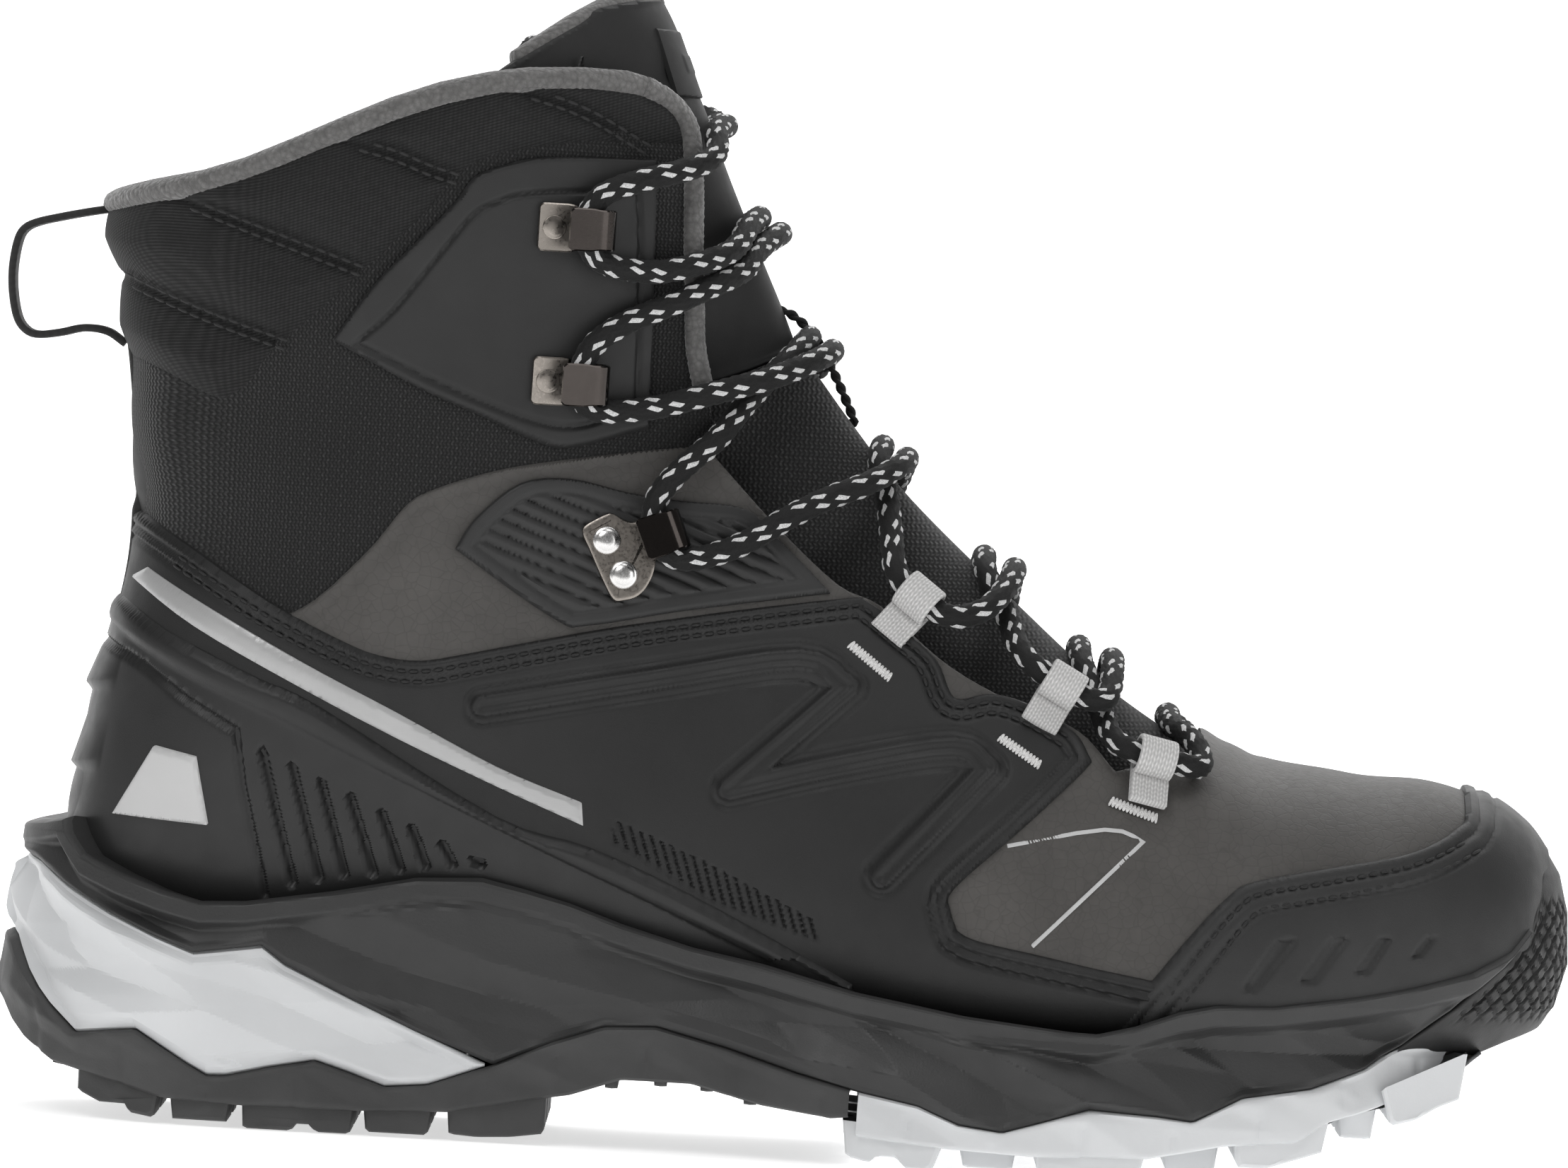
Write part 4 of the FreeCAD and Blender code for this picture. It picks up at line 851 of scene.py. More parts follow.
CAGE_GROOVE = ((15.8, 92.1), (24.7, 88.0), (33.8, 82.0), (44.0, 76.7), (45.9, 66.2), (51.2, 44.8))
SLOT_TOPS = ((49.4, 74.2), (55.4, 71.7), (61.2, 69.0), (67.0, 66.4), (73.2, 63.6), (79.2, 60.9), (85.2, 58.1),
             (91.5, 55.4))
SLOT_FEET = ((56.4, 45.7), (61.6, 47.0), (66.5, 47.9), (72.0, 48.8), (77.3, 49.7), (82.2, 50.6), (87.4, 51.3),
             (93.0, 51.6))
SPIKES = (84.9, 69.1)
TOE_SLASHES = (
    ((240.9, 38.5), (247.6, 49.1), (252.1, 49.6), (244.3, 38.5)),
    ((251.9, 40.5), (257.9, 49.9), (262.1, 50.3), (255.8, 40.5)),
    ((262.5, 42.9), (267.5, 50.5), (270.6, 50.8), (266.0, 42.8)),
    ((273.5, 46.2), (276.7, 50.8), (279.6, 51.2), (276.2, 46.4)),
)
THIN_LINE = ((194.8, 63.8), (213.4, 68.1), (221.1, 66.4), (200.7, 44.7))


def under_sole(points, drop=5.0):
    return tuple((x, z - drop) for x, z in reversed(points))


def band(line, width):
    """Outline of a narrow strip along a line."""
    p = np.array(line, float)
    n = turned_right(tangents(p)) * width / 2
    return np.concatenate((p - n, (p + n)[::-1]))


# ---------------------------------------------------------------- leather, mesh and overlays

# Inner face and thickness of each layer, from the body's surface
VAMP_LAYER = (-2.0, 2.1)
QUARTER_LAYER = (-2.0, 2.35)
ANKLE_LAYER = (-2.0, 1.75)
PATCH_LAYER = (-0.3, 1.6)
OVERLAY_LAYER = (-0.1, 1.6)
HOOK_PATCH_LAYER = (-0.2, 2.0)
STRIPE_LAYER = (1.1, 0.9)
LINE_LAYER = (0.1, 0.25)
CAGE_LAYER = (-0.1, 3.2)
BADGE_LAYER = (2.0, 1.5)
COLLAR_LAYER = (-1.2, 0.9)
TONGUE_LAYER = (-1.2, 1.2)
LABEL_LAYER = (0.0, 0.5)
GUSSET_LAYER = (-3.4, 0.8)
LINING_LAYER = (-7.1, 1.1)


def leather_shell():
    vamp = ((233.0, 100.0), (231.5, 84.0), (214.9, 79.5), (209.2, 85.6), (204.2, 88.5), (182.0, 64.0),
            (176.0, 40.0), (184.0, 27.0), (208.0, 24.0), (222.0, 26.0), (248.0, 31.0), (275.0, 36.0),
            (293.0, 43.0), (310.0, 56.0), (330.0, 100.0))

    def worn(x, z, d, y):
        crease = 0.0
        for at, lean in ((226.0, 0.25), (233.0, 0.2), (240.5, 0.16)):
            fold = bump(np.abs(x - at - (z - 70) * lean), 3.2)
            crease = crease - 0.25 * fold * step_up(z, 20) * step_up(z - 58, 14)
        return 0.25 * np.sin(x * 0.19 + z * 0.11) * np.sin(z * 0.23 - x * 0.07) * step_up(d, 8) + crease

    cover("vamp_leather", vamp, *VAMP_LAYER, "nubuck", "nubuck", ("vamp",), span=(0, 9), relief=worn, top=True)
    quarter = QUARTER_TOP + ((2.0, 88.0), (60.0, 82.0), (110.0, 86.0), (160.0, 94.0), (184.0, 76.0),
                             (205.0, 74.0)) + tuple(reversed(THROAT))

    def puffed(x, z, d, y):
        return 0.35 * np.sin(x * 0.13 + 0.6) * np.sin(z * 0.17) * step_up(d, 9) - 0.25 * bump(np.abs(d - 2.4), 1.6)

    pair("quarter_leather", quarter, *QUARTER_LAYER, "nubuck", "nubuck", puffed, span=(4, LAST), round_edge=0.8)
    for word, side in SIDES:
        cover("vamp_line_" + word, band(smooth_line(THIN_LINE, False, 3, 30), 0.75), *LINE_LAYER, "thin_line",
              "reflective", (), around=HALF[side], cell=0.35, smooth=False, round_edge=0.1, span=(4, 12), top=True)


def ankle():
    mesh = tuple(shift(QUARTER_TOP, 0, -3.0)) + tuple(shift(COLLAR_LOW, 0, 3.0)) + EDGE_FRONT[1:] + MESH_FRONT

    def soft(x, z, d, y):
        back = np.exp(-((z - 128) / 22.0) ** 2) * step_up(x - 20, 10) * step_up(70 - x, 12)
        heel = 1.2 * np.exp(-((z - 136) / 13.0) ** 2) * step_up(34 - x, 8)
        return 0.9 * back * step_up(d, 10) + heel + 0.35 * np.sin(z * 0.19 + x * 0.05) * step_up(d, 8)

    cover("ankle_mesh_cloth", mesh, *ANKLE_LAYER, "mesh", "black_mesh", ("ankle_mesh",), span=(8, LAST),
          relief=soft, cell=0.9)

    groove = smooth_line(PATCH_GROOVE)

    def panel(x, z, d, y):
        inside = depth_in(x, z, groove)
        return -0.55 * bump(np.abs(inside), 0.9) + 0.25 * step_up(inside, 1.0)

    pair("ankle_patch", PATCH, *PATCH_LAYER, "patch_film", "black_overlay", panel, span=(9, LAST), cell=0.6,
         round_edge=1.0)


HOOK_RIB = 2.7
HOOK_RIB_LEAN = math.radians(20)


def overlays():
    outline = OVERLAY_TOP + under_sole(MID_TOP[13:18]) + tuple(shift(tuple(reversed(CAGE_TOP[:-1])), 0, -3.0)) + (
        (0.0, 98.0),)
    edge = smooth_line(OVERLAY_TOP[:-1], False)
    ridge, ribs = smooth_line(RIDGE, False, 4, 60), np.array(RIB_STRIP)

    def pressed(x, z, d, y):
        rim = away(x, z, edge)
        lift = -0.5 * bump(np.abs(rim - 2.0), 0.9) - 0.5 * bump(np.abs(rim - 4.0), 0.9) + 0.25 * bump(
            np.abs(rim - 3.0), 0.8)
        line = away(x, z, ridge)
        lift += 1.1 * step_up(2.6 - line, 0.9) - 0.5 * bump(line, 1.1) - 0.45 * bump(np.abs(line - 3.5), 0.9)
        inside = depth_in(x, z, ribs)
        rib = step_up(np.abs(np.mod(x * 0.96 + z * 0.3, 1.75) - 0.87), 0.5)
        lift += step_up(inside, 0.5) * (-0.9 + 0.85 * rib)
        return lift + 0.22 * np.sin(x * 0.09) * np.sin(z * 0.14 + 1) * step_up(d, 8)

    pair("quarter_overlay", outline, *OVERLAY_LAYER, "overlay", "black_overlay", pressed, span=(4, LAST),
         cell=0.62,
         round_edge=1.0)

    def hook_ribs(x, z, d, y):
        t = np.mod(x * math.sin(HOOK_RIB_LEAN) + z * math.cos(HOOK_RIB_LEAN), HOOK_RIB) / HOOK_RIB
        rib = np.sqrt(np.clip(np.sin(math.pi * t), 0, 1))
        return step_up(d - 3.0, 0.8) * (1.05 * rib - 0.95) - 0.3 * bump(np.abs(d - 2.9), 0.7)

    pair("hook_patch", HOOK_PATCH, *HOOK_PATCH_LAYER, "hook_patch", "black_overlay", hook_ribs, span=(8, 16),
         cell=0.5,
         round_edge=0.9)
    pair("reflective_stripe", STRIPE, *STRIPE_LAYER, "reflective", "reflective", None, span=(8, 16), cell=0.7,
         round_edge=0.35)

    toe = TOE_TOP + ((330.0, 90.0), (330.0, 50.0)) + under_sole(MID_TOP[17:])
    top_edge = smooth_line(TOE_TOP, False)
    slashes = [np.array(s) for s in TOE_SLASHES]

    def capped(x, z, d, y):
        rim = away(x, z, top_edge)
        lift = -0.55 * bump(np.abs(rim - 2.9), 0.9) - 0.55 * bump(np.abs(rim - 6.2), 0.9)
        for s in slashes:
            lift = lift - 0.85 * step_up(depth_in(x, z, s), 0.7)
        return lift

    cover("toe_cap_skin", toe, *OVERLAY_LAYER, "toe_overlay", "black_overlay", ("toe_cap",), span=(0, 7),
          relief=capped,
          cell=0.65, round_edge=1.0, top=True)


def heel_cage():
    outline = CAGE_TOP + under_sole(MID_TOP[:14], 4.0) + ((9.2, 52.0), (0.0, 52.0), (0.0, 101.0))
    rim, groove = smooth_line(CAGE_RIM, False), np.array(CAGE_GROOVE)

    def moulded(x, z, d, y):
        above = np.interp(x, rim[:, 0], rim[:, 1]) < z
        edge = away(x, z, rim)
        lift = np.where(above, 0.35 * step_up(edge, 1.0), -0.75 * step_up(edge, 1.2))
        lift -= 0.9 * step_up(1.0 - away(x, z, groove), 0.6)
        for (x0, z0), (x1, z1) in zip(SLOT_TOPS, SLOT_FEET):
            lift -= 1.5 * step_up(1.15 - away(x, z, np.array(((x0, z0 - 1.5), (x1, z1 + 1.8)))), 0.6)
        for at in SPIKES:
            reach = np.clip(1 - np.abs(y) / 20.0, 0, 1) ** 0.6
            fall = np.where(z > at, np.clip(1 - (z - at) / 8.0, 0, 1), np.clip(1 - (at - z) / 3.0, 0, 1))
            lift += 2.5 * reach * fall
        return lift

    cover("heel_cage_shell", outline, *CAGE_LAYER, "cage", "cage_plastic", ("heel_cage",), span=(7, 15.5),
          relief=moulded, cell=0.6, round_edge=1.3)
    pair("heel_badge", BADGE, *BADGE_LAYER, "badge_plastic", "badge", None, span=(9, 14), cell=0.45,
         round_edge=0.6)


def collar_pads():
    outline = COLLAR_LOW + ((124.2, 199.5),) + tuple(reversed(shift(COLLAR_EDGE, 0, 1.5)))
    lines = [smooth_line(q, False) for q in QUILT_LINES]

    def stuffed(x, z, d, y):
        seam = np.minimum.reduce([away(x, z, q) for q in lines] + [d])
        puff = 3.0 * (1 - np.exp(-(seam / 5.2) ** 1.3))
        wave = 0.25 * np.sin(x * 0.31 + z * 0.12) * step_up(seam, 6)
        return puff + wave - 0.6 * bump(seam, 1.3)

    ob = cover("collar_padding", outline, *COLLAR_LAYER, "collar_knit", "black_knit", ("collar_pad",),
               span=(12, LAST), relief=stuffed, cell=0.8, round_edge=0.9)


leather_shell()
ankle()
overlays()
heel_cage()
collar_pads()


# ---------------------------------------------------------------- sole

SOLE_PLAN = (
    (0, 0), (3, -14), (12, -27), (28, -36.5), (50, -39), (80, -38), (110, -38), (140, -41),
    (165, -46), (190, -51.5), (212, -54), (235, -53), (258, -48), (278, -39), (292, -26.5),
    (303, -9), (306.7, 7), (303.5, 22), (294, 35), (280, 45.5), (260, 52), (238, 54), (215, 51.5),
    (190, 46.5), (165, 41), (140, 38), (110, 37), (80, 38), (50, 39), (28, 36.5), (12, 27), (3, 14),
)
MID_RIM = ((-2.0, 56.0), (4.5, 57.0), (8.5, 58.0), (11.0, 55.0)) + MID_TOP
INSERT_TOP = (
    (-2.0, 50.5), (3.9, 48.9), (11.2, 44.9), (21.0, 40.3), (30.8, 36.4), (38.7, 33.7), (45.0, 34.7), (52.0, 35.8),
    (56.6, 32.5), (69.7, 26.6), (82.8, 21.0), (96.6, 15.4),
)
INSERT_LOW = (
    (-2.0, 36.0), (1.6, 33.5), (5.5, 27.3), (10.7, 21.2), (16.0, 16.4), (22.4, 17.4), (28.1, 18.1), (38.7, 12.0),
    (42.6, 10.0), (46.4, 10.2), (54.6, 12.3), (63.5, 14.1), (70.6, 12.0), (77.1, 9.8), (85.4, 10.6),
    (96.6, 14.9),
)
MID_LOW = (
    (97.9, 15.3), (109.1, 20.3), (119.0, 23.9), (129.1, 24.5), (142.8, 21.3), (156.5, 17.4),
    (168.1, 14.7), (180.3, 12.7), (188.3, 9.6), (196.8, 8.7), (203.6, 10.9), (213.4, 14.2),
    (226.5, 13.6), (233.5, 12.9), (243.2, 17.9), (256.9, 20.2), (268.3, 24.3), (275.7, 29.0),
    (283.0, 36.0), (288.8, 41.7), (293.9, 47.0), (298.3, 52.3),
)
HEEL_BASE = ((-2.0, 26.0), (0.0, 23.0), (3.2, 16.9), (6.0, 13.9), (11.3, 10.4), (17.4, 9.0), (34.0, 5.2),
             (50.0, 4.6), (71.1, 4.8), (89.5, 5.6), (113.1, 10.3), (123.0, 13.9), (136.5, 14.0),
             (150.1, 10.8), (163.7, 9.2), (168.2, 9.8))
FORE_BASE = ((160.0, 9.0), (167.0, 6.2), (186.2, 4.8), (203.2, 4.5), (225.1, 5.4), (239.9, 8.6),
             (253.9, 9.8), (260.4, 14.1), (269.9, 17.1), (281.0, 21.2), (290.5, 28.6))
BUMPER_TOP = ((275.0, 28.5), (283.2, 35.8), (289.0, 41.5), (294.1, 47.2), (298.3, 53.5), (301.0, 61.0),
              (303.5, 66.0), (307.0, 68.4))
BUMPER_BASE = ((275.0, 27.8), (290.4, 28.0), (295.1, 27.2), (300.0, 29.5), (307.0, 32.0))
HEEL_INSET = ((0.0, 3.0), (10.0, 1.4), (17.0, 0.6), (24.4, 0.0), (33.3, 1.5), (49.0, 3.9), (55.0, 4.5),
              (57.2, 6.0), (58.5, 8.2))
TOE_INSET = ((5.0, 3.0), (12.0, 1.6), (27.0, 10.0), (31.0, 6.5), (36.5, 2.2), (45.0, 0.0), (55.0, 0.6), (62.6, 2.6),
             (67.5, 5.8), (69.0, 9.0))


def closed_plan(step):
    """The sole's plan at even steps, its outward normals, and the run along it."""
    line = smooth_line(SOLE_PLAN, True, 16, 90)
    line = np.concatenate((line, line[:1]))
    run = run_of(line)
    at = np.linspace(0, run[-1], int(run[-1] / step) + 1)[:-1]
    p = np.stack([np.interp(at, run, line[:, k]) for k in (0, 1)], -1)
    return p, turned_right(unit(np.roll(p, -1, 0) - np.roll(p, 1, 0))), at


def height_at(x, line):
    line = np.array(line)
    return np.interp(x, line[:, 0], line[:, 1])


def facets(along, up, wide, tall, seed):
    """Flat triangles between uneven heights, from -1 to 1."""
    a = along / wide
    b = up / tall
    a = a + 0.5 * b + 0.18 * np.sin(b * 2.1)
    i, j = np.floor(a).astype(int), np.floor(b).astype(int)
    s, t = a - i, b - j
    table = np.random.RandomState(seed).uniform(-1, 1, (97, 13))

    def corner(m, n):
        return table[m % 97, n % 13]

    low = corner(i, j) * (1 - s - t) + corner(i + 1, j) * s + corner(i, j + 1) * t
    high = corner(i + 1, j + 1) * (s + t - 1) + corner(i + 1, j) * (1 - t) + corner(i, j + 1) * (1 - s)
    return np.where(s + t < 1, low, high)


WALL_FOOT = 6.0          # how far the lower edge of a side wall turns in
WALL_ROUND = 0.9


def side_wall(name, top, base, x0, x1, look, replaced, relief, rows=20, step=0.9, shelf=7.0, sharp=38):
    """Side wall of a sole piece all round the plan, between two side-view lines, with turned-in edges."""
    plan, normal, run = closed_plan(step)
    keep = (plan[:, 0] >= x0) & (plan[:, 0] <= x1)
    z_top, z_base = height_at(plan[:, 0], top), height_at(plan[:, 0], base)
    keep &= z_top - z_base > 0.3
    share = np.linspace(0, 1, rows)
    z = z_base[:, None] + (z_top - z_base)[:, None] * share[None]
    heel, toe = height_at(z, HEEL_INSET), height_at(z, TOE_INSET)
    end = np.abs(normal[:, 0:1])
    forward = step_up(plan[:, 0:1] - 70.0, 160.0)
    tuck = (heel * (1 - forward) + toe * forward) * (0.30 + 0.70 * end)
    tall = (z_top - z_base)[:, None]
    to_top, to_base = tall * (1 - share), tall * share
    out = relief(run[:, None] + 0 * z, z, to_top, to_base, plan[:, 0:1] + 0 * z)
    out = out - round_off(to_top, WALL_ROUND) - round_off(to_base, WALL_ROUND)
    xy = plan[:, None] - normal[:, None] * (tuck - out)[..., None]
    grid = np.concatenate((xy, z[..., None]), -1)
    inward = -np.concatenate((normal, 0 * normal[:, :1]), 1)[:, None]
    edge_top = grid[:, -1:] + inward * shelf - (0, 0, 0.6)
    edge_base = grid[:, :1] + inward * WALL_FOOT + (0, 0, 0.3)
    grid = np.concatenate((edge_base, grid, edge_top), 1)
    n, m = grid.shape[:2]
    faces = []
    for i in range(n):
        j = (i + 1) % n
        if keep[i] and keep[j]:
            faces += [[i * m + k, j * m + k, j * m + k + 1, i * m + k + 1] for k in range(m - 1)]
    weave = np.stack((np.repeat(run, m), grid[..., 2].ravel()), -1)
    points = grid.reshape(-1, 3)
    used = np.unique(np.array(faces))
    renumber = np.full(len(points), -1)
    renumber[used] = np.arange(len(used))
    piece(name, points[used], renumber[np.array(faces)], look, "root", replaced, weave[used], sharp)


def half_widths(x, inset):
    """Lateral and medial edges of the sole's plan at x."""
    line = smooth_line(SOLE_PLAN, True, 8, 90)
    turn = int(np.argmax(line[:, 0]))
    low, high = line[:turn + 1], line[turn:]
    high = np.concatenate((high, line[:1]))[::-1]
    return np.interp(x, low[:, 0], low[:, 1]) + inset, np.interp(x, high[:, 0], high[:, 1]) - inset


FLOOR_INSET = 3.5


def underside(name, base, x0, x1, look):
    """The tread's floor between the lugs, slightly hollow and uneven."""
    xs = np.arange(x0, x1 + 0.01, 1.6)
    lo, hi = half_widths(xs, FLOOR_INSET)
    ok = hi - lo > 4
    xs, lo, hi = xs[ok], lo[ok], hi[ok]
    share = np.linspace(0, 1, 48)
    y = lo[:, None] + (hi - lo)[:, None] * share
    x = xs[:, None] + 0 * y
    z = height_at(x, base) + 0.9 * np.sin(math.pi * share)[None] + 0.25 * np.sin(x * 0.9) * np.sin(y * 0.45)
    grid = np.stack((x, y, z), -1)
    points = grid.reshape(-1, 3)
    piece(name, points, sheet(*x.shape), look, weave=points[:, :2])


HEEL_LUGS = (
    ((17.4, 12.0), (17.5, 5.3), (21.9, 3.4), (27.6, 3.4), (28.1, 1.8), (32.9, 1.1), (34.0, 8.0)),
    ((49.7, 7.0), (50.2, 0.2), (59.6, 0.2), (60.6, 1.6), (63.4, 1.6), (64.2, 0.2), (71.0, 0.2), (71.7, 7.0)),
    ((89.4, 8.0), (90.1, 1.3), (95.5, 1.0), (102.1, 1.4), (108.5, 2.4), (108.6, 11.0)),
)
FORE_LUGS = (
    ((166.2, 9.0), (167.1, 2.2), (171.6, 1.1), (172.9, 2.5), (177.0, 2.5), (179.1, 0.2), (183.8, 0.2), (186.2, 7.0)),
    ((203.4, 7.0), (204.6, 0.2), (210.0, 0.2), (210.7, 1.6), (215.3, 1.6), (217.7, 0.2), (223.4, 1.0), (225.1, 8.0)),
    ((241.5, 12.0), (242.5, 4.7), (247.9, 4.6), (254.0, 6.6), (258.8, 8.2), (260.4, 17.0)),
    ((269.9, 20.5), (272.0, 13.8), (276.9, 15.0), (281.3, 17.6), (285.5, 19.2), (286.7, 28.0)),
)
INNER_ROWS = ((36.5, 47.0, 1.2), (74.0, 86.0, 0.8), (190.0, 199.5, 0.8), (229.0, 238.5, 2.6), (262.5, 268.5, 10.8))
LUG_ROWS = ((-60.0, -17.0), (-12.0, 12.0), (17.0, 60.0))
STUD_ROWS = ((-38.0, -15.0), (-8.0, 8.0), (15.0, 38.0))


LUG_BEVEL = 0.8
LUG_RINGS = ((0.0, 1.0), (0.35, 0.35), (1.0, 0.0), (-1.0, 0.0), (-0.35, 0.35), (0.0, 1.0))


def lug(profile, y0, y1):
    """A block of the tread: its side profile carried across, edges rounded down, outer ends along the plan."""
    line = resample(profile, 1.3)
    line = np.concatenate((np.array(profile[:1]), line[1:-1], np.array(profile[-1:])))
    lo, hi = half_widths(line[:, 0], 1.0)
    start = np.maximum(lo, y0)
    end = np.minimum(hi, y1)
    root = line[:, 1].max()
    gap = (line[0, 0] + line[-1, 0]) / 2 - line[:, 0]
    rings = []
    for share, drop in LUG_RINGS:
        at = (start if len(rings) < 3 else end) + LUG_BEVEL * share
        x = line[:, 0] + np.sign(gap) * LUG_BEVEL * drop * np.minimum(1, np.abs(gap) / 2)
        z = line[:, 1] + LUG_BEVEL * drop * (root - line[:, 1] > 1)
        rings.append(np.stack((x, at, z), -1))
    n, m = len(rings), len(line)
    faces = sheet(n, m) + [list(range(m))[::-1], [(n - 1) * m + j for j in range(m)]]
    return np.concatenate(rings), faces


def lug_set(name, profiles, look, rows=LUG_ROWS):
    joined(name, [lug(profile, y0, y1) for profile in profiles for y0, y1 in rows], look, (), sharp=30)


def block(x0, x1, foot, base):
    """Profile of a plain lug between the ones that show at the edge."""
    root = float(height_at((x0 + x1) / 2, base)) + 1.5
    return ((x0 - 0.8, root), (x0, foot), (x1, foot), (x1 + 0.8, root))


def sole():
    def insert_relief(run, z, to_top, to_base, x):
        mask = step_up(to_top - 0.8, 2.0) * step_up(to_base, 2.5)
        belly = np.sin(math.pi * np.clip(to_base / np.maximum(to_base + to_top, 1), 0, 1))
        return belly + 3.4 * mask * facets(run, z - 0.12 * x, 15.0, 9.0, 11)

    def midsole_relief(run, z, to_top, to_base, x):
        rim = 4.0
        lip = 0.9 * step_up(to_top, 1.0) * step_up(rim + 1.2 - to_top, 1.6)
        mask = step_up(to_top - rim, 2.2) * step_up(to_base, 2.0)
        return 0.9 + lip + mask * (3.2 * facets(run * 1.02, z + 0.10 * np.abs(x - 150), 20.0, 10.5, 5) - 0.7)

    side_wall("midsole_side", MID_RIM, INSERT_TOP[:-1] + MID_LOW, -1, 298.0, "midsole_foam",
              ("midsole",), midsole_relief, rows=46, step=0.6, shelf=9.0, sharp=8)
    side_wall("heel_insert_side", INSERT_TOP, INSERT_LOW, -1, 96.4, "grey_rubber", ("heel_insert",),
              insert_relief, rows=44, step=0.6, sharp=8)

    def rubber(run, z, to_top, to_base, x):
        notch = -0.5 * bump(np.abs(np.mod(x, 17.0) - 8.5), 1.4) * step_up(to_top - 1.5, 2)
        return 1.1 + 0.9 * facets(run, z, 9.0, 6.0, 3) * step_up(to_top, 1.2) + notch

    side_wall("outsole_heel_side", INSERT_LOW[:-1] + MID_LOW[:7], HEEL_BASE, -1, 168.0, "black_rubber",
              ("outsole_heel",), rubber)
    side_wall("outsole_forefoot_side", MID_LOW[6:17] + ((276.5, 29.0), (291.0, 30.0)), FORE_BASE, 168.6, 288.0,
              "grey_rubber", ("outsole_forefoot",), rubber)

    def lattice(run, z, to_top, to_base, x):
        a, b = np.mod(run + 1.25 * z, 5.2), np.mod(run - 1.25 * z, 5.2)
        line = np.minimum(np.minimum(a, 5.2 - a), np.minimum(b, 5.2 - b))
        mask = step_up(to_top - 1.5, 1.5) * step_up(z - 33, 4) * step_up(60 - z, 5)
        return 0.6 - 0.75 * bump(line, 0.8) * mask + 0.5 * step_up(36 - z, 4)

    side_wall("toe_bumper_side", BUMPER_TOP, BUMPER_BASE, 275.0, 308.0, "bumper_rubber",
              ("outsole_toe_bumper",), lattice, rows=64, step=0.6, shelf=8.0)
    underside("outsole_heel_floor", HEEL_BASE, 12.0, 168.0, "black_rubber")
    underside("outsole_forefoot_floor", FORE_BASE, 166.5, 290.0, "grey_rubber")
    arch = [((x, z + 4.0), (x + 0.4, z), (x + 2.8, z), (x + 3.2, z + 4.0))
            for x, z in ((119.5, 12.0), (129.0, 13.0), (138.0, 12.6), (146.5, 10.6))]
    lug_set("outsole_heel_lugs", HEEL_LUGS, "black_rubber")
    lug_set("outsole_arch_ridges", arch, "black_rubber", ((-60.0, 60.0),))
    lug_set("outsole_forefoot_lugs", FORE_LUGS, "grey_rubber")
    lug_set("outsole_heel_studs", [block(*row, HEEL_BASE) for row in INNER_ROWS[:2]], "black_rubber", STUD_ROWS)
    lug_set("outsole_forefoot_studs", [block(*row, FORE_BASE) for row in INNER_ROWS[2:]], "grey_rubber", STUD_ROWS)


sole()
# ---------------------------------------------------------------- tongue, gussets and bindings

TONGUE_TOP = ((160.0, 234.0), (112.0, 222.6), (104.0, 218.0), (87.6, 206.9))
WING_LATERAL = ((86.0, 203.0), (100.0, 186.0), (110.0, 168.0), (116.0, 150.0), (126.0, 132.0), (142.0, 116.0),
                (160.0, 102.0), (182.0, 88.0), (204.0, 76.0), (222.0, 68.0))
WING_MEDIAL = ((113.0, 218.4), (111.5, 186.0), (114.0, 168.0), (118.0, 150.0)) + WING_LATERAL[4:]
TONGUE_END = ((242.0, 66.0), (242.0, 110.0))
TONGUE_SPLIT = ((131.0, 150.0), (150.0, 158.0), (175.0, 172.0))
TONGUE_T = 6.0
ON_TONGUE = {"around": (-0.75, 0.75), "surface": tongue, "body": "tongue"}


def tongue_parts():
    def padded(x, z, d, y):
        seam = np.minimum(d, away(x, z, np.array(((110.0, 206.0), (140.0, 214.0)))))
        return 1.0 * (1 - np.exp(-(seam / 4.5) ** 1.4)) - 0.8

    upper_edge = {LATERAL: TONGUE_TOP + WING_LATERAL[:4] + TONGUE_SPLIT,
                  MEDIAL: TONGUE_TOP[:2] + WING_MEDIAL[:4] + TONGUE_SPLIT}
    split = tuple(reversed(shift(TONGUE_SPLIT, 0, -0.4)))
    lower_edge = {LATERAL: split + ((116.0, 149.6),) + WING_LATERAL[4:] + TONGUE_END,
                  MEDIAL: split + ((118.0, 149.6),) + WING_MEDIAL[4:] + TONGUE_END}
    ob = cover("tongue_front", upper_edge, *TONGUE_LAYER, "neoprene", "black_knit", ("tongue_pad",),
               span=(9, LAST),
               relief=padded, round_edge=1.1, sink=2.4, **ON_TONGUE)
    ob = cover("tongue_instep", lower_edge, *TONGUE_LAYER, "tongue_mesh", "black_mesh", (), span=(4, 13),
               relief=padded, round_edge=1.0, sink=2.4, **ON_TONGUE)
    whole = {LATERAL: TONGUE_TOP + WING_LATERAL + TONGUE_END, MEDIAL: TONGUE_TOP[:2] + WING_MEDIAL + TONGUE_END}

    def cushion(x, z, d, y):
        return 0.9 * (1 - np.exp(-(d / 6.0) ** 1.4)) - 0.9

    ob = cover("tongue_inside", whole, -TONGUE_T - 0.2, 1.2, "lining", "lining", ("tongue_lining",),
               span=(4, LAST),
               relief=cushion, inward=True, sink=3.0, **ON_TONGUE)
    label = ((100.0, 205.0), (100.0, 218.0), (140.0, 218.0), (140.0, 205.0))

    def bar(x, z, d, y):
        return 0.2 * step_up(2.0 - np.abs(z - 211.5), 0.6) * step_up(9.0 - np.abs(y), 1.0)

    cover("tongue_label", label, *LABEL_LAYER, "neoprene", "black_overlay", ("tongue_patch",), span=(14, LAST),
          relief=bar, cell=0.5, **{**ON_TONGUE, "around": (-0.12, 0.12)})


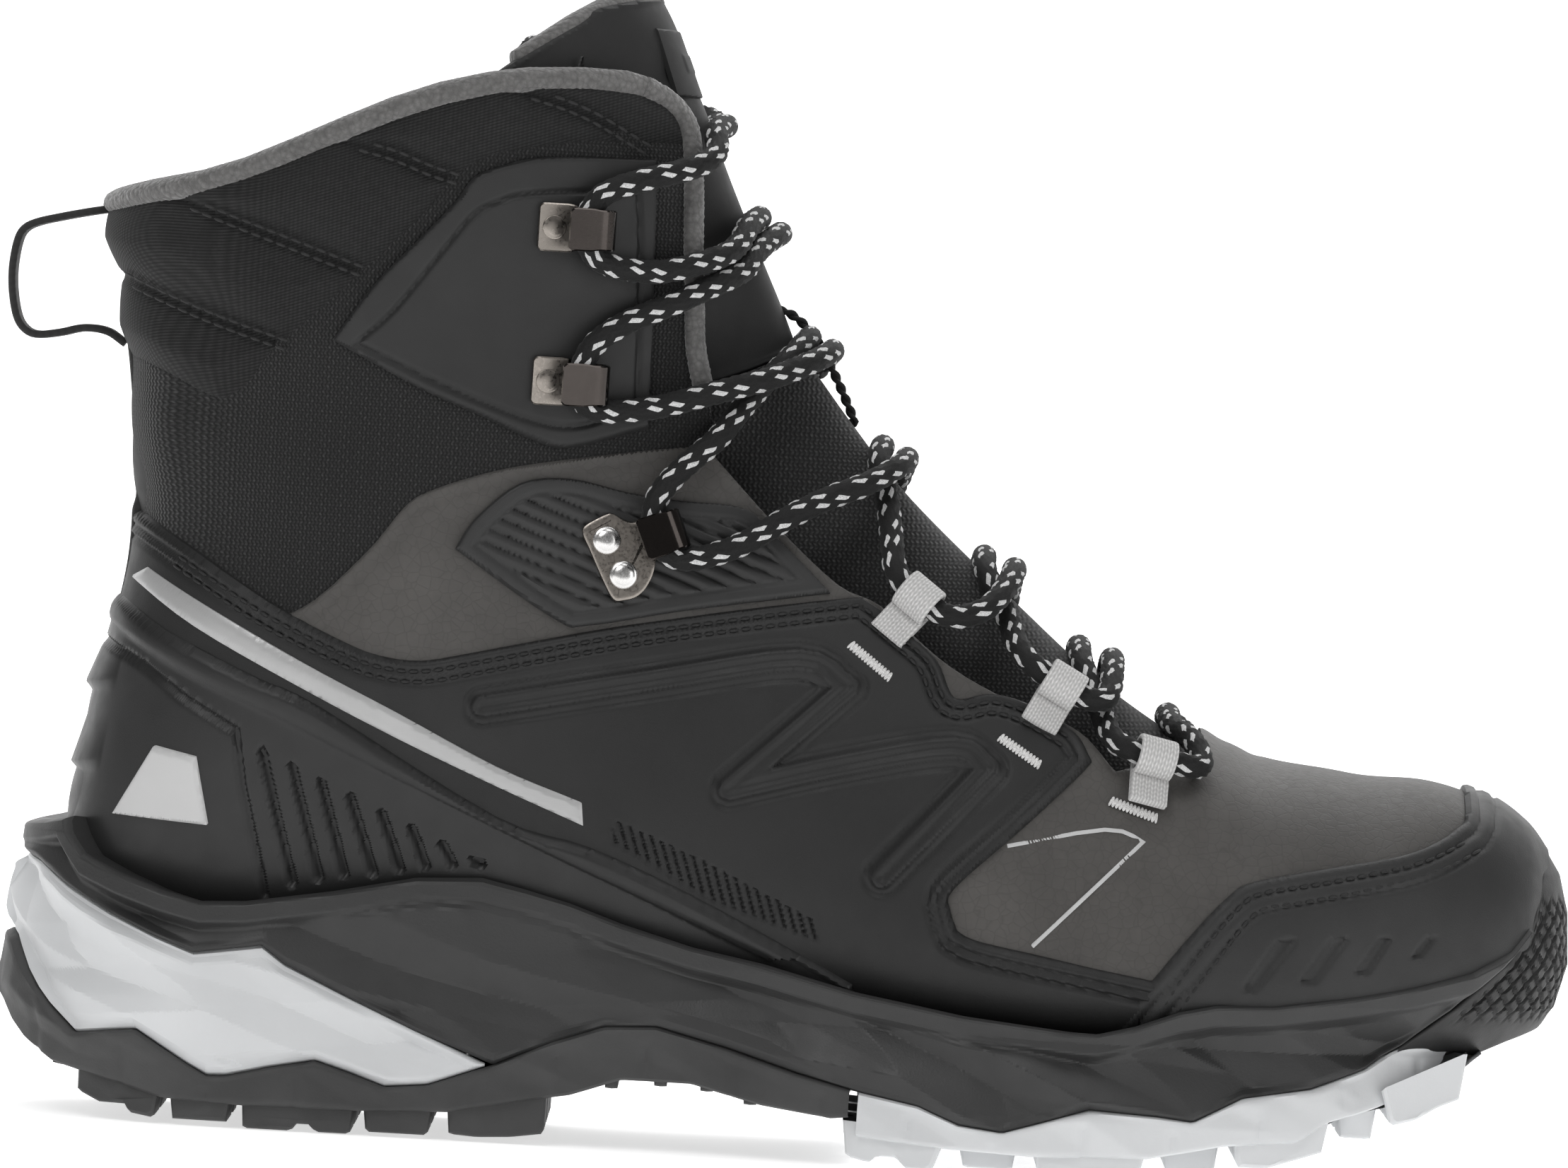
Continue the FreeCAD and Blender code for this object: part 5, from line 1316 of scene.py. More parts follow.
def rolled(name, centre, across, outward, wide, high, replaced, body="root", ring=20, terry=0.16):
    """A fleece roll along a line; across and outward are its half axes, one row of each per point."""
    run = run_of(centre)
    turn = np.arange(ring) * TAU / ring
    loops = terry * (np.sin(run[:, None] * TAU / 1.25 + 2.0 * np.sin(run[:, None] * 0.7))
                     * np.sin(turn[None] * 6 + np.sin(run[:, None] * 1.7)))
    c, s = np.cos(turn)[None], np.sin(turn)[None]
    points = (centre[:, None] + across[:, None] * (np.sign(c) * np.abs(c) ** 0.85 * (wide + loops))[..., None]
              + outward[:, None] * (np.sign(s) * np.abs(s) ** 0.85 * (high + loops))[..., None])
    weave = np.stack(np.broadcast_arrays(run[:, None], turn[None] * max(wide, high)), -1).reshape(-1, 2)
    piece(name, points.reshape(-1, 3), tube(len(run), ring), "fleece", body, replaced, weave, 80)


COLLAR_MID = ((0.0, 176.8), (12.0, 177.6), (19.5, 179.6), (30.0, 182.0), (39.3, 185.2), (48.9, 189.6), (58.4, 194.2),
              (68.0, 198.6), (77.7, 202.2), (87.4, 204.8), (95.2, 206.2), (105.0, 206.8), (113.5, 206.6),
              (118.6, 205.4), (123.2, 202.0), (125.6, 198.4))


def meets(surface, line, ws):
    """Where the runs of a surface from sole to top cross a side-view line."""
    line = np.array(line)
    us = np.linspace(12, LAST, 420)
    p = surface(us[:, None], ws[None], 0.0)
    over = p[..., 2] - np.interp(p[..., 0], line[:, 0], line[:, 1])
    k = (over > 0).argmax(0)
    cols = np.arange(len(ws))
    o0, o1 = over[np.maximum(k - 1, 0), cols], over[k, cols]
    u = us[np.maximum(k - 1, 0)] + np.clip(-o0 / np.where(o1 - o0 == 0, 1, o1 - o0), 0, 1) * (us[1] - us[0])
    return u, surface(u, ws, 0.0)


def tongue_roll():
    """The fleece edge along the top of the tongue."""
    ws = np.linspace(-0.7, 0.7, 500)
    u, at = meets(tongue, ((80.0, 201.5),) + TONGUE_TOP[::-1], ws)
    spot = np.where((at[:, 0] > np.where(ws < 0, 92.0, 113.2)) & (np.abs(at[:, 1]) < 40) & (u > 12.1))[0]
    u, w = u[spot], ws[spot]
    inner, outer = tongue(u, w, -6.0), tongue(u, w, -1.2)
    up = unit(tongue(u + 0.02, w, -3.5) - tongue(u - 0.02, w, -3.5))
    rolled("tongue_edge", (inner + outer) / 2, (outer - inner) / 2, up, 1.0, 2.0, (), "tongue", 24, 0.05)


def collar_roll():
    """The fleece edge round the top of the shaft, from one side of the throat to the other."""
    ws = np.linspace(-1, 1, 560)
    u, at = meets(upper, COLLAR_MID, ws)
    keep = at[:, 0] < 125.4
    for word, side in SIDES:
        spot = np.where(keep & (ws * side > 0))[0]
        spot = spot if side == MEDIAL else spot[::-1]
        uu, ww = u[spot], ws[spot]
        front = np.clip((at[spot, 0] - 96.0) / 16.0, 0, 1)
        low = -8.2 * (1 - front) - 2.2 * front
        inner, outer = upper(uu, ww, low), upper(uu, ww, 1.3 + 0 * uu)
        middle = (low + 1.3) / 2
        up = unit(upper(uu + 0.02, ww, middle) - upper(uu - 0.02, ww, middle))
        rolled("collar_edge_" + word, (inner + outer) / 2, (outer - inner) / 2, up, 1.0, 2.6,
               ("collar_binding",) if side == MEDIAL else (), ring=28, terry=0.05)


THROAT_EDGE = ((116.0, 206.2), (120.6, 204.0), (124.3, 200.4), (126.0, 195.4), (126.9, 185.2), (127.4, 175.4),
               (128.2, 165.6), (128.8, 157.6), (129.8, 152.6), (131.2, 147.6))


def throat_roll():
    """The fleece edge down each side of the throat."""
    for word, side in SIDES:
        spots = resample(smooth_line(THROAT_EDGE, False), 0.55)
        u, angle = locate(spots[:, 0], spots[:, 1], 0.3, side)
        centre = body_point(u, angle, 0.3)
        out = unit(body_point(u, angle, 1.3) - centre)
        across = unit(np.cross(np.gradient(centre, axis=0), out))
        rolled("throat_edge_" + word, centre, across, out, 2.1, 1.75, ("throat_binding_" + word,))


def gussets():
    wells = tuple(shift(THROAT, 0, -1.5)) + ((202.0, 70.0), (180.0, 80.0), (158.0, 94.0), (140.0, 108.0),
                                            (124.0, 126.0))

    def folded(x, z, d, y):
        return 0.5 * np.sin((x + z) * 0.5) * step_up(d, 5)

    pair("gusset", wells, *GUSSET_LAYER, "tongue_mesh", "black_mesh", folded, span=(4, 13))


def inside():
    edge = ((0.0, 98.3), (100.0, 98.3), (112.0, 113.0), (104.0, 204.5)) + tuple(
        reversed(shift(COLLAR_EDGE[:11], 0, 1.0)))

    def soft(x, z, d, y):
        return 0.35 * np.sin(x * 0.11) * np.sin(z * 0.13) * step_up(d, 8)

    ob = cover("shaft_lining_cloth", edge, *LINING_LAYER, "lining", "lining", ("shaft_lining",), span=(8, LAST),
               relief=soft, inward=True, cell=1.2, sink=0.3)


tongue_parts()
tongue_roll()
collar_roll()
throat_roll()
gussets()
inside()


# ---------------------------------------------------------------- hooks, rivets, loops and tapes

HOOK_T = 1.0
HOOK_BORE = 2.55
HOOK_BEND = 4.0
BASE_GROW = 1.9
HOOK_SPOTS = {"top": (104.1, 177.9, 0.0), "mid": (104.6, 148.2, 0.0), "lock": (121.7, 118.3, math.radians(22.5))}
HOOK_PINS = {"top": ((-4.0, 0.0),), "mid": ((-4.0, 0.0),), "lock": ((-7.4, 2.6), (-6.6, -4.8))}
LOCK_PLATE = ((109.2, 118.9), (109.7, 120.6), (113.5, 122.9), (115.1, 123.0), (118.4, 121.6), (123.6, 123.0),
              (123.6, 113.9), (122.3, 109.6), (120.3, 107.3), (117.7, 106.4), (115.8, 106.5), (113.8, 109.6),
              (110.7, 115.8))
RIVET_R = 2.75


def in_frame(local, points):
    p, t, b, n = local
    points = np.array(points, float)
    return p + points[:, :1] * t + points[:, 1:2] * b + points[:, 2:3] * n


def bent_strip(sections, thick, bevel=0.28):
    """Faces and points of a strip: each section is centre (a, n), normal (a, n) and half width."""
    points, faces = [], []
    t = thick / 2
    for (a, n), (na, nn), half in sections:
        for wide, off in ((half - bevel, t), (half, t - bevel), (half, -t + bevel), (half - bevel, -t),
                          (-half + bevel, -t), (-half, -t + bevel), (-half, t - bevel), (-half + bevel, t)):
            points.append((a + na * off, wide, n + nn * off))
    count = len(sections)
    for k in range(count - 1):
        for j in range(8):
            a, b = k * 8 + j, k * 8 + (j + 1) % 8
            faces.append([b, a, a + 8, b + 8])
    faces += [list(range(8)), [(count - 1) * 8 + j for j in range(8)][::-1]]
    return np.array(points), faces


def hook_sections(back, tip, wide, neck, flange):
    """Base plate, half-round bend and returning tip of a lace hook."""
    out = []
    low, high = HOOK_T / 2, 2 * (HOOK_BORE + HOOK_T) - HOOK_T / 2
    for inset, share in ((0.0, 0.86), (0.25, 0.94), (0.7, 0.99), (1.4, 1.0)):
        out.append(((back + inset, low), (0, 1), wide * share))
    for share in np.linspace(0.12, 1, 9):
        a = back + 1.4 + (HOOK_BEND - back - 1.4) * share
        out.append(((a, low), (0, 1), wide + (neck - wide) * float(step_up(share - 0.45, 0.4))))
    radius = HOOK_BORE + HOOK_T / 2
    for turn in np.linspace(0, math.pi, 17)[1:-1]:
        out.append(((HOOK_BEND + radius * math.sin(turn), HOOK_BORE + HOOK_T - radius * math.cos(turn)),
                    (-math.sin(turn), math.cos(turn)), neck))
    for share in np.linspace(0, 1, 13):
        a = HOOK_BEND + (tip - HOOK_BEND) * share
        half = (neck + (flange - neck) * float(step_up(share, 0.35))) * (1 - 0.14 * max(0.0, share - 0.9) / 0.1)
        out.append(((a, high + 0.3 * share), (0, -1), half))
    return out


def plate_from(outline, thick, bevel):
    """Flat plate with a rounded top edge, in local coordinates."""
    line = smooth_line(outline, True, 5, 60)
    middle = line.mean(0)
    normal = turned_right(tangents(np.concatenate((line[-1:], line, line[:1])))[1:-1])
    normal *= np.sign((normal * (line - middle)).sum(1).mean())
    rows = ((0, -0.4), (0, thick - bevel), (bevel * 0.3, thick - bevel * 0.3), (bevel, thick),
            (bevel * 2.0, thick + 0.03), (bevel * 3.4, thick + 0.05), (bevel * 5.0, thick + 0.05))
    points = [(x, y, height) for tuck, height in rows for x, y in line - normal * tuck]
    return np.array(points), tube(len(rows), len(line), foot=False)


def lathe(profile, centre, ring=40):
    """A turned shape of radii and heights round a centre, open at its foot."""
    turns = [TAU * k / ring for k in range(ring)]
    points = [(centre[0] + r * math.cos(turn), centre[1] + r * math.sin(turn), height)
              for r, height in profile for turn in turns]
    return np.array(points), tube(len(profile), ring, foot=False)


# Back, tip, half width of the base, of the neck and of the flange
HOOK_SIZES = {"top": (-7.0, -2.4, 4.7, 3.9, 4.15), "mid": (-7.0, -2.4, 4.7, 3.9, 4.15),
              "lock": (-5.5, -1.6, 4.2, 3.9, 4.2)}
BASE_POINTS = 64         # points of a hook's strip that belong to its base plate
# Rivet head: shares of its radius, and heights
RIVET_HEAD = ((1, -0.3), (1, 0.45), (0.96, 0.66), (0.88, 0.8), (0.8, 0.84), (0.74, 0.98), (0.6, 1.2), (0.42, 1.34),
              (0.2, 1.4), (0.01, 1.42))


def hooks():
    domes, flats = [], []
    for word, side in SIDES:
        for kind, (x, z, lean) in HOOK_SPOTS.items():
            local = local_frame(x, z, BASE_GROW, side, lean)
            points, faces = bent_strip(hook_sections(*HOOK_SIZES[kind]), HOOK_T)
            name = "hook_%s_%s" % (kind, word)
            on_base = [0 if min(f) < BASE_POINTS else 1 for f in faces]
            piece(name + "_strip", in_frame(local, points), faces, ("plate_metal", "hook_metal"),
                  replaced=(name,), looks=on_base, sharp=35)
            if kind == "lock":
                c, s = math.cos(lean), math.sin(lean)
                outline = []
                for px, pz in LOCK_PLATE:
                    a, b = (px - x) * c + (pz - z) * s, -(px - x) * s + (pz - z) * c
                    outline.append((a, b * (1 if local[2][2] > 0 else -1)))
                points, faces = plate_from(outline, HOOK_T + 0.15, 0.3)
                joined(name + "_plate", [(in_frame(local, points), faces)], "plate_metal", ())
            r, rise = (RIVET_R, 1.0) if kind == "lock" else (RIVET_R * 0.85, 0.3)
            for a, b in HOOK_PINS[kind]:
                points, faces = lathe([(r * wide, HOOK_T + high * rise) for wide, high in RIVET_HEAD], (a, b))
                (domes if kind == "lock" else flats).append((in_frame(local, points), faces))
    joined("rivet_heads", domes, "rivet_metal", ("rivets",), sharp=60)
    joined("rivet_flats", flats, "plate_metal", (), sharp=60)


WEB_LOOPS = ((221.3, 79.7, -12.0), (202.5, 92.7, -28.5), (174.5, 108.6, -36.5))
LOOP_GROW = 0.2
LOOP_R = 3.5             # centre of the webbing from the loop's axis
LOOP_T = 1.0


def strip_along(line, normals, across, half, thick):
    """Soft flat tape: rounded edges, one section per point of its centre line."""
    shape = []
    r = thick / 2
    for a in np.linspace(-math.pi / 2, math.pi / 2, 5):
        shape.append((half - r + r * math.cos(a), r * math.sin(a)))
    flat = np.linspace(half - r, -half + r, 7)[1:-1]
    shape += [(v, r) for v in flat]
    shape += [(-x, -y) for x, y in shape[:5]]
    shape += [(-v, -r) for v in flat]
    shape = np.array(shape)
    points = (line[:, None] + across[:, None] * shape[None, :, :1] + normals[:, None] * shape[None, :, 1:])
    weave = np.stack(np.broadcast_arrays(shape[None, :, 0] + 50, run_of(line)[:, None] + 50), -1).reshape(-1, 2)
    return points.reshape(-1, 3), tube(len(line), len(shape)), weave


def web_loops():
    for word, side in SIDES:
        for count, (x, z, lean) in enumerate(WEB_LOOPS, 1):
            p, t, b, n = local_frame(x, z, LOOP_GROW, side, math.radians(lean))
            high = LOOP_R + LOOP_T / 2
            path = [(-9.0, 0.35), (-6.0, 0.45), (-3.5, 0.5)]
            for turn in np.linspace(-math.pi / 2 + 0.12, 1.5 * math.pi - 0.6, 30):
                path.append((LOOP_R * math.cos(turn), high + LOOP_R * 0.97 * math.sin(turn)))
            path += [(-3.9, 1.75), (-6.4, 1.5), (-9.4, 1.4)]
            path = resample(smooth_line(path, False, 3, 170), 0.55)
            along = tangents(path)
            up = b if b[2] > 0 else -b
            line = p + path[:, :1] * up + path[:, 1:] * n
            normal = -along[:, 1:] * up + along[:, :1] * n
            across = np.repeat(t[None], len(line), 0)
            points, faces, weave = strip_along(line, normal, across, LOOP_HALF, LOOP_T)
            name = "lace_loop_%d_%s" % (count, word)
            piece(name + "_tape", points, faces, "grey_webbing", "root", (name,), weave, 70)


BARTACKS = (((162.3, 100.7), (170.4, 94.7)), ((192.2, 84.6), (200.2, 79.7)), ((214.2, 73.6), (223.4, 70.7)))


BARTACK_PITCH = 0.36
BARTACK_HALF = 0.95


def bartacks():
    pairs = []
    for side in (LATERAL, MEDIAL):
        for (x0, z0), (x1, z1) in BARTACKS:
            low = 1.65 if x0 < 210 else 0.35
            length = math.hypot(x1 - x0, z1 - z0)
            dx, dz = (x1 - x0) / length, (z1 - z0) / length
            count = int(length / BARTACK_PITCH)
            for k in range(count):
                a, b = length * k / count, length * (k + 1) / count
                sway = -BARTACK_HALF if k % 2 else BARTACK_HALF
                start = (x0 + dx * a + dz * sway, z0 + dz * a - dx * sway)
                end = (x0 + dx * b - dz * sway, z0 + dz * b + dx * sway)
                p, q, o = put(*start, low, side), put(*end, low, side), put(*end, low + 1, side)
                pairs.append((p, q, o - q))
    beads("bartack_threads", pairs, 0.26, "light_thread", replaced=("bartacks",))


PULL = ((16.0, 177.2), (9.6, 176.0), (3.2, 174.5), (-1.7, 173.1), (-4.1, 171.6), (-5.2, 169.0), (-5.8, 164.0),
        (-5.5, 159.1), (-4.3, 154.2), (-2.3, 151.8), (0.2, 151.2), (4.5, 151.9), (8.8, 153.0), (13.4, 152.6),
        (17.0, 150.4))
TAPE_HALF = 5.3
PULL_T = 1.5
HEEL_TAPE_T = 1.6
HEEL_TAPE_ROUND = 0.8
LOOP_HALF = 3.8


def tapes():
    path = resample(smooth_line(PULL, False), 0.8)
    along = tangents(path)
    line = np.stack((path[:, 0], np.zeros(len(path)), path[:, 1]), -1)
    normal = np.stack((-along[:, 1], np.zeros(len(path)), along[:, 0]), -1)
    across = np.repeat(((0.0, 1.0, 0.0),), len(path), 0)
    run = np.linspace(0, 1, len(path))
    across = across * (1 - 0.45 * (bump(run, 0.12) + bump(1 - run, 0.1)))[:, None]
    points, faces, weave = strip_along(line, normal, across, TAPE_HALF, PULL_T)
    piece("pull_loop_tape", points, faces, "black_webbing", "loop", ("pull_loop",), weave, 70)
    zs = np.linspace(150.5, 98.5, 84)
    us = np.linspace(11, LAST, 500)
    spine = body_point(us, math.pi, 0.0)
    u = np.interp(zs, spine[:, 2], us)
    ys = np.linspace(-TAPE_HALF, TAPE_HALF, 19)
    edge = round_off(TAPE_HALF - np.abs(ys), HEEL_TAPE_ROUND)
    row = stations(u)
    grow = 0.9 + 0.8 * step_up(121.5 - zs, 3.0)
    grid = []
    for k in range(len(zs)):
        half = row[k, 5] + grow[k]
        off = np.abs(ys - row[k, 4]) / half
        angle = (math.pi - np.arcsin(np.clip(off, 0, 1) ** (row[k, 8] / 2))) * np.sign(ys - row[k, 4] + 1e-9)
        grid.append(body_point(np.full(len(ys), u[k]), angle, grow[k] - edge))
    grid = np.array(grid)
    n, m = grid.shape[:2]
    inner = grid.copy()
    inner[..., 0] += HEEL_TAPE_T
    points = np.concatenate((grid.reshape(-1, 3), inner.reshape(-1, 3)))
    faces = sheet(n, m) + [[b, a, a + n * m, b + n * m] for a, b in border(n, m)]
    weave = np.stack(np.broadcast_arrays(ys[None] + 50, zs[:, None]), -1).reshape(-1, 2)
    piece("heel_tape_web", points, faces, "black_webbing", "root", ("heel_tape",),
          np.concatenate((weave, weave)), 70)


hooks()
web_loops()
bartacks()
tapes()


# ---------------------------------------------------------------- lace

LACE_D = 4.5
LACE_R = LACE_D / 2
LOW = TONGUE_FRONT + LACE_R + 1.6
HIGH = LOW + LACE_D + 0.9
RIDE = LOW + 2.2
CREST_ANGLE = math.radians(20.0)
WRAP_A = 1.6
WRAP_B = 6.0
LOOP_EXIT = 6.0

# The same way points as in the part's source: from each hook or loop towards the crest of the tongue
TOP_LOW = ((119.5, 169.8, 5.2), (127.6, 172.0, 5.8), (136.0, 175.4, 3.8))
TOP_LOW_OVER = ((119.5, 169.8, 5.2), (127.6, 172.2, 5.8), (134.6, 174.8, 6.2))
MID_HIGH = ((114.5, 160.2, 5.2), (123.0, 163.8, 5.4), (131.2, 168.2, 5.3), (138.2, 171.8, 2.5))
MID_LOWER = ((121.2, 143.8, 4.9), (129.2, 146.8, 5.0), (139.0, 151.6, 2.4))
MID_LOWER_OVER = ((121.2, 143.8, 4.9), (129.2, 146.4, 5.4), (138.0, 149.2, 5.8), (145.0, 151.4, 5.0))
LOCK_HIGH = ((128.5, 133.8, 4.6), (134.5, 138.6, 4.0), (139.8, 147.0, 0.8))
LOCK_FRONT = ((139.0, 117.6, 5.0), (148.5, 124.3, 4.8), (157.0, 129.6, 2.4))
LOCK_FRONT_OVER = ((139.0, 117.6, 5.0), (148.5, 124.3, 4.8), (157.0, 129.0, 4.2), (164.4, 131.8, 5.0))
THREE_BACK = ((169.6, 118.5, 2.8), (168.8, 124.0, 0.0), (168.0, 129.0, -1.6))
THREE_FRONT = ((184.2, 108.0, 1.8),)
THREE_FRONT_OVER = ((184.6, 107.2, 4.2), (189.8, 109.6, 5.0))
TWO_BACK = ((195.0, 101.2, 2.0), (193.0, 106.6, -1.4))
TWO_FRONT = ((210.8, 93.8, 1.2),)
TWO_FRONT_OVER = ((213.2, 92.6, 5.5),)
ONE_BACK = ((213.6, 85.6, 1.4), (211.8, 90.2, -1.2))
ONE_BACK_FREE = ((213.8, 85.6, 1.6), (214.2, 89.6, -0.6))
ONE_FRONT = ((232.4, 80.4, 3.4), (230.4, 85.8, 3.0))
TAIL_A = ((96.0, 132.0, -13.5), (96.5, 165.0, -12.5), (97.0, 190.0, -12.0), (97.5, 207.6, -12.6), (98.2, 214.4, -7.6),
          (101.5, 214.4, 2.8), (108.0, 209.0, 5.4), (117.0, 204.4, 5.4), (125.0, 202.2, 5.6), (130.6, 201.2, 4.6))
TAIL_B = ((86.0, 132.0, -14.0), (88.0, 165.0, -12.5), (90.0, 190.0, -12.0), (91.3, 207.2, -12.6), (92.0, 214.0, -7.6),
          (94.0, 214.0, 3.0), (98.0, 206.6, 5.4), (101.2, 200.2, 5.2), (105.0, 192.5, 5.2))


def crossing(u, lateral=LOW, middle=LOW, medial=LOW):
    """Three points over the tongue, lateral to medial, each with its height."""
    return [body_point(np.float64(u), turn * CREST_ANGLE, grow)
            for turn, grow in zip((-1, 0, 1), (lateral, middle, medial))]


def hook_run(kind, side):
    p, t, b, n = local_frame(*HOOK_SPOTS[kind][:2], BASE_GROW, side, HOOK_SPOTS[kind][2])
    mid = p + t * WRAP_A + n * (HOOK_T + HOOK_BORE)
    up = b if b[2] > 0 else -b
    return [mid + up * WRAP_B, mid - up * WRAP_B]


def loop_run(number, side):
    x, z, lean = WEB_LOOPS[number - 1]
    p, t, _, n = local_frame(x, z, LOOP_GROW, side, math.radians(lean))
    mid = p + n * (LOOP_R + LOOP_T / 2)
    return [mid - t * LOOP_EXIT, mid + t * LOOP_EXIT]


def way(points, side):
    return [put(x, z, grow, side) for x, z, grow in points]


def lace_route():
    left, right = LATERAL, MEDIAL
    route = way(TAIL_A, right) + crossing(15.5)[::-1]
    route += way([(131.6, 193.6, 4.8), (125.4, 190.4, 5.8), (116.5, 188.0, 5.2)], left)
    route += hook_run("top", left) + way(TOP_LOW, left) + crossing(13.65)
    route += way(MID_HIGH, right)[::-1] + hook_run("mid", right) + way(MID_LOWER, right) + crossing(10.6)[::-1]
    route += way(LOCK_HIGH, left)[::-1] + hook_run("lock", left) + way(LOCK_FRONT_OVER, left)
    route += crossing(8.2, HIGH, RIDE) + way(THREE_BACK, right)[::-1] + loop_run(3, right)
    route += way(THREE_FRONT, right) + crossing(7.28)[::-1] + way(TWO_BACK, left)[::-1] + loop_run(2, left)
    route += way(TWO_FRONT_OVER, left) + crossing(6.1, HIGH, RIDE) + way(ONE_BACK_FREE, right)[::-1]
    route += loop_run(1, right) + way(ONE_FRONT, right) + crossing(5.6)[::-1] + way(ONE_FRONT, left)[::-1]
    route += loop_run(1, left)[::-1] + way(ONE_BACK, left) + crossing(6.38) + way(TWO_FRONT, right)[::-1]
    route += loop_run(2, right)[::-1] + way(TWO_BACK, right) + crossing(7.02, HIGH, RIDE)[::-1]
    route += way(THREE_FRONT_OVER, left)[::-1] + loop_run(3, left)[::-1] + way(THREE_BACK, left)
    route += crossing(8.55) + way(LOCK_FRONT, right)[::-1] + hook_run("lock", right)[::-1]
    route += way(LOCK_HIGH, right) + crossing(10.05, HIGH, RIDE)[::-1] + way(MID_LOWER_OVER, left)[::-1]
    route += hook_run("mid", left)[::-1] + way(MID_HIGH, left) + crossing(13.05, LOW, RIDE, HIGH)
    route += way(TOP_LOW_OVER, right)[::-1] + hook_run("top", right)[::-1] + way(TAIL_B, right)[::-1]
    return np.array(route)


def spline_line(route):
    """Points along the smooth spline of a route, in metres."""
    data = bpy.data.curves.new("lace_line", "CURVE")
    data.dimensions = "3D"
    data.resolution_u = 10
    spline = data.splines.new("NURBS")
    spline.points.add(len(route) - 1)
    for point, place in zip(spline.points, metres(route)):
        point.co = (*place, 1.0)
    spline.order_u = 3
    spline.use_endpoint_u = True
    ob = bpy.data.objects.new("lace_line", data)
    me = bpy.data.meshes.new_from_object(ob)
    line = np.array([tuple(v.co) for v in me.vertices])
    bpy.data.objects.remove(ob)
    bpy.data.meshes.remove(me)
    return line


CARRIERS = 12            # yarns in each direction of the braid
PITCH = 27.0             # one turn of a yarn along the lace
ROUND = 2 * CARRIERS
RIB = 0.3                # height of a yarn over the braid
FLECKED = (0, 2, 6, 8)   # the light yarns
SOFTEN = 3               # neighbours on each side that even out the line


def yarn_height(a, b):
    """Height of the braid at yarn positions a and b: each yarn goes over two and under two."""
    total = 0.0
    for da in (-0.2, 0.2):
        for db in (-0.2, 0.2):
            over = np.mod(np.floor(a + da) - np.floor(b + db), 4) < 2
            top = np.where(over, a, b)
            total = total + np.sin(math.pi * np.mod(top, 1)) ** 0.8 * np.where(over, 1, 0.92)
    return total / 4


def braided(name, line, radius):
    """A round braid along a line, one diamond of faces where two yarns cross."""
    run = run_of(line)
    step = PITCH / (4 * CARRIERS)
    levels = int(run[-1] / step)
    at = np.linspace(0, run[-1], levels)
    centre = np.stack([np.interp(at, run, line[:, k]) for k in range(3)], -1)
    soft = np.pad(centre, ((SOFTEN, SOFTEN), (0, 0)), mode="reflect", reflect_type="odd")
    centre = sum(soft[k:k + levels] for k in range(2 * SOFTEN + 1)) / (2 * SOFTEN + 1)
    along = tangents(centre)
    side = np.zeros((levels, 3))
    ref = np.cross(along[0], (0.3, 0.2, 1.0))
    for k in range(levels):
        side[k] = ref = unit(ref - along[k] * ref.dot(along[k]))
    up = np.cross(along, side)
    k = np.arange(levels)[:, None]
    i = np.arange(ROUND)[None]
    j = 2 * i + k % 2
    turn = j * TAU / (2 * ROUND)
    a, b = (j - k) / 4.0, (j + k) / 4.0
    r = radius - RIB + RIB * 1.5 * yarn_height(a, b)
    points = centre[:, None] + (side[:, None] * np.cos(turn)[..., None]
                                + up[:, None] * np.sin(turn)[..., None]) * r[..., None]
    ks = np.arange(levels - 2)[:, None]
    left = (i - 1 + ks % 2) % ROUND
    right = (left + 1) % ROUND
    low, high = ks * ROUND + i, (ks + 2) * ROUND + i
    mid_left, mid_right = (ks + 1) * ROUND + left, (ks + 1) * ROUND + right
    quads = np.stack(np.broadcast_arrays(low, mid_right, high, mid_left), -1).reshape(-1, 4)
    ja, ka = (2 * i + ks % 2), ks + 1
    ca, cb = np.floor((ja - ka) / 4.0 + 1e-6), np.floor((ja + ka) / 4.0 + 1e-6)
    over = np.mod(ca - cb, 4) < 2
    light = over & np.isin(np.mod(ca, CARRIERS), FLECKED)
    looks = np.where(light, 1, 0).reshape(-1)
    ends = [list(range(ROUND))[::-1], [(levels - 1) * ROUND + v for v in range(ROUND)]]
    faces = quads.tolist() + ends
    return piece(name, points.reshape(-1, 3), faces, ("lace_black", "lace_fleck"), "root", ("lace",),
                 sharp=180, looks=np.concatenate((looks, (0, 0)))), at[-1], centre


# Lace tip: shares of its radius, and distances from the braid's end
AGLET_PROFILE = ((0.9, -0.5), (1, 0.2), (1, 6), (0.985, 6.3), (1, 6.6), (1, 13), (0.985, 13.3), (1, 13.6), (1, 19.0),
                 (0.86, 19.7), (0.5, 20.0))


def lace():
    line = spline_line(lace_route())
    flat = line * 1000 + np.array((HEEL_TO_CENTRE, 0, 0))
    ob, length, centre = braided("lace_braid", flat, LACE_R)
    tips = []
    for end, inner in ((flat[0], flat[6]), (flat[-1], flat[-7])):
        out = unit(end - inner)
        across = unit(np.cross(out, (0.0, 1.0, 0.2)))
        up = np.cross(out, across)
        r = LACE_R - 0.3
        points, faces = lathe([(r * wide, high) for wide, high in AGLET_PROFILE], (0.0, 0.0), 24)
        tips.append((end + points[:, :1] * across + points[:, 1:2] * up + points[:, 2:] * out, faces))
    aglets = joined("aglet_tips", tips, "aglet_plastic", ("lace_aglets",), sharp=50)
    tuple(float(v) for v in metres(centre[0]))
    [tuple(p) for p in metres(centre).tolist()]


KEEPER = ((142.5, 164.6), (147.0, 163.8), (151.8, 159.8), (155.8, 153.4), (158.8, 147.6), (160.8, 143.4),
          (157.5, 141.4))
STRAND_OFF = 0.45        # of each of the keeper's two strands from their common line
STRAND_R = 0.55
STRAND_TURN = 5.0
STRAND_RING = 8


